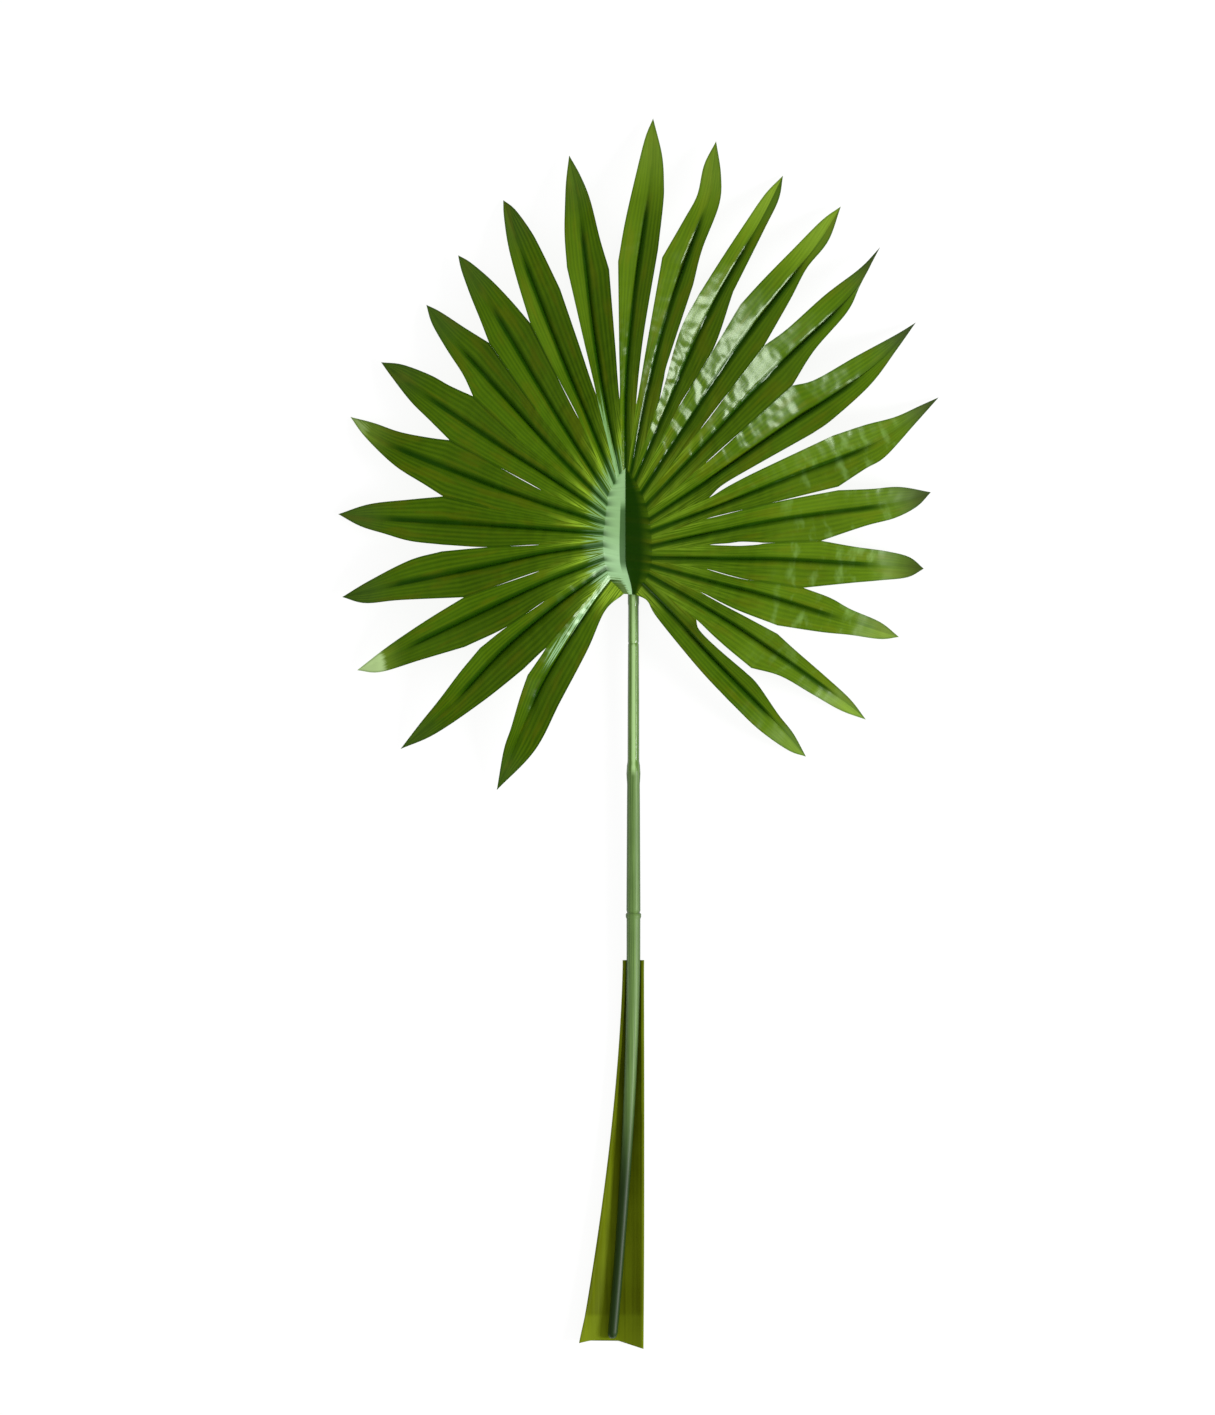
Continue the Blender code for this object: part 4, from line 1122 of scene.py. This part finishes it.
def with_tips_and_painted_sheen(f, colour, brown):
    """Adds yellowish pale colour, partly painted light, brown tips, painted gloss bars and painted sheen,
    white at tips.
    """
    share = f.attribute("share")
    fine_streaks = f.fade(on_segments(f, FINE_GRAIN), *FINE_STREAKS)
    streaky = f.product(fine_streaks, f.fade(share, *FINE_STREAKS_ALONG))
    uneven = f.total(1.0, f.product(streaky, YELLOW_UNEVENNESS))
    # Yellowish pale colour, partly painted light
    colour = f.blend(f.product(f.attribute("yellow"), uneven), colour, LEAF_PALE_AND_LIT)
    colour = f.blend(brown, colour, LEAF_BROWN)
    # Painted gloss bars
    colour = f.blend(painted_gloss_bars(f), colour, LEAF_GLOSS_BAR)
    # Painted sheen on the hub's wall, the roots and two strips, turning to a white painted highlight
    # further out
    low = f.fade(f.split(f.place())[1], *frame_ys(HUB_SHEEN_PALER_Y))
    hub = f.blend(low, LEAF_HUB_SHEEN, LEAF_LOW_HUB_SHEEN)
    pale = f.blend(f.fade(share, *HIGHLIGHT_BEYOND), hub, LEAF_PAINTED_HIGHLIGHT)
    return f.blend(f.fade(f.total(f.attribute("bluish"), streaky), *PAINTED_SHEEN_FADE), colour, pale)


def with_painted_shade(f, colour, strip):
    """Adds painted shade in the folds, on the wall's strip and on the right wall, which faces away from
    the key, and darkens the open margins.
    """
    folds = f.product(f.attribute("groove"), f.span(f.attribute("from_fold"), *FOLD_SHADE))
    margins = f.fade(f.attribute("margin"), *DARK_MARGIN)
    right_wall_shade = f.fade(f.attribute("wall"), *RIGHT_WALL_SHADE)
    for dark in (folds, margins, strip, right_wall_shade):
        colour = f.blend(dark, colour, LEAF_PAINTED_SHADE)
    return colour


def ripples(f):
    """Low waves in the gloss, calmer by the hub and from the middle outwards."""
    return f.product(on_segments(f, RIPPLE_GRAIN), f.span(f.attribute("share"), *RIPPLES_ALONG))


def blade_finish():
    f = Finish("moulded_leaf")
    clouds = f.noise(f.place(), *LEAF_CLOUDS)
    brown = brown_tips(f)
    strip = wall_shade_strip(f)
    under = f.attribute("under")
    colour = with_tips_and_painted_sheen(f, leaf_green(f, clouds), brown)
    colour = with_painted_shade(f, colour, strip)
    tips_along = f.fade(f.attribute("share"), *ROUGH_TIPS)
    roughness = f.total(
        f.fade(clouds, *LEAF_ROUGHNESS),
        f.product(tips_along, f.fade(f.attribute("number"), *TIP_ROUGHNESS)),
        f.fade(f.attribute("wall"), *LEFT_WALL_ROUGHNESS),
        f.product(strip, WALL_STRIP_ROUGHNESS),
        f.product(brown, BROWN_ROUGHNESS),
        f.product(under, UNDER_ROUGHNESS),
    )
    return f.shade(
        Base_Color=f.blend(f.product(under, UNDER_PALENESS), colour, LEAF_UNDER),
        Specular_IOR_Level=BLADE_GLOSS,
        Specular_Tint=(*GLOSS_TINT, 1.0),
        Roughness=roughness,
        Normal=f.bump(ripples(f), RIPPLE_HEIGHT),
    )


def stalk_finish():
    f = Finish("moulded_stalk")
    x, y, _ = f.split(f.place())
    streaks = f.grained(STALK_GRAIN, x, y)
    up = f.attribute("up")
    glossy = f.fade(y, *frame_ys(STALK_GLOSSY_Y))
    colour = f.blend(f.fade(streaks, *EVENLY), STALK_DEEP, STALK_PALE)
    colour = f.blend(f.fade(f.noise(f.place(), *STALK_CLOUDS), *STALK_CLOUDING), colour, STALK_DEEP)
    # Painted shade on the stalk's sides, by how far they turn from up
    colour = f.blend(f.fade(up, *STALK_SIDES_SHADED), colour, STALK_SIDE_SHADE)
    # Painted highlight along the top of the upper stalk
    colour = f.blend(f.product(glossy, f.fade(up, *STALK_HIGHLIGHT_LINE)), colour, STALK_PAINTED_HIGHLIGHT)
    return f.shade(
        Base_Color=f.blend(f.fade(y, *frame_ys(STALK_DARKENS_Y)), colour, STALK_FOOT),
        Specular_IOR_Level=STALK_GLOSS,
        Roughness=f.fade(glossy, *STALK_ROUGHNESS),
        Normal=f.bump(streaks, STALK_GRAIN_HEIGHT),
    )


def sheath_finish():
    f = Finish("moulded_sheath")
    x, y, _ = f.split(f.place())
    streaks = f.grained(SHEATH_GRAIN, x, y)
    clouds = f.noise(f.place(), *SHEATH_CLOUDS)
    foot = f.fade(y, *frame_ys(SHEATH_STEP_Y), 0.0, SHEATH_FOOT_PALENESS)
    colour = f.blend(f.fade(streaks, *EVENLY), SHEATH_DEEP, SHEATH_MID)
    colour = f.blend(f.fade(clouds, *SHEATH_CLOUDING), colour, SHEATH_PALE)
    return f.shade(
        Base_Color=f.blend(foot, colour, SHEATH_PALE),
        Specular_IOR_Level=SHEATH_GLOSS,
        Roughness=f.fade(clouds, *SHEATH_ROUGHNESS),
        Normal=f.bump(streaks, SHEATH_GRAIN_HEIGHT),
    )


def dress(piece, node, finish_material):
    """Puts the finish on a piece and gives it to the frame, in place of the node."""
    piece.data.materials.append(finish_material)
    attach(piece, "root")
    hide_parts(node)


# Studio


def make_floor():
    mesh = bpy.data.meshes.new("floor")
    half = FLOOR_SIDE / 2
    corners = [(-half, -half, 0), (half, -half, 0), (half, half, 0), (-half, half, 0)]
    mesh.from_pydata(corners, [], [(0, 1, 2, 3)])
    f = Finish("pale_floor")
    mesh.materials.append(
        f.shade(
            Base_Color=(*FLOOR_COLOUR, 1.0),
            Roughness=FLOOR_ROUGHNESS,
            Specular_IOR_Level=0.0,
            Emission_Color=(1.0, 1.0, 1.0, 1.0),
            Emission_Strength=FLOOR_GLOW,
        )
    )
    floor = put_in_scene("floor", mesh)


def make_world():
    """A white surround for the camera, an even fill for the surfaces and little for reflections."""
    world = bpy.data.worlds.new("studio")
    world.use_nodes = True
    nodes = world.node_tree.nodes
    links = world.node_tree.links
    background = nodes["Background"]
    ray = nodes.new("ShaderNodeLightPath")
    unseen = nodes.new("ShaderNodeMapRange")
    unseen.inputs["To Min"].default_value = FILL_LEVEL
    unseen.inputs["To Max"].default_value = GLOSS_FILL_LEVEL
    level = nodes.new("ShaderNodeMapRange")
    level.inputs["To Max"].default_value = 1.0
    links.new(ray.outputs["Is Glossy Ray"], unseen.inputs["Value"])
    links.new(unseen.outputs[0], level.inputs["To Min"])
    links.new(ray.outputs["Is Camera Ray"], level.inputs["Value"])
    links.new(level.outputs[0], background.inputs["Strength"])
    background.inputs["Color"].default_value = (1.0, 1.0, 1.0, 1.0)
    bpy.context.scene.world = world


def make_key_light():
    data = bpy.data.lights.new("key", "AREA")
    data.shape = "SQUARE"
    data.size = KEY_SIZE
    data.energy = KEY_POWER
    key = put_in_scene("key", data)
    aim = Vector(AIM) * MM
    flat = KEY_DISTANCE * math.sin(KEY_TILT)
    up = KEY_DISTANCE * math.cos(KEY_TILT)
    offset = Vector((flat * math.cos(KEY_FROM), flat * math.sin(KEY_FROM), up))
    key.location = aim + offset
    key.rotation_euler = (-offset).to_track_quat("-Z", "Y").to_euler()


def make_camera():
    data = bpy.data.cameras.new("camera")
    data.sensor_width = SENSOR
    data.lens = SENSOR * CAMERA_HEIGHT / (IMAGE_SIDE * MM)
    camera = put_in_scene("camera", data)
    camera.location = Vector(AIM) * MM + Vector((0, 0, CAMERA_HEIGHT))
    bpy.context.scene.camera = camera


def main():
    scene = bpy.context.scene
    scene.view_settings.view_transform = "Standard"
    dress(make_blade(), "blade", blade_finish())
    dress(make_stalk(), "stalk", stalk_finish())
    dress(make_sheath(), "sheath", sheath_finish())
    make_floor()
    make_world()
    make_key_light()
    make_camera()


main()
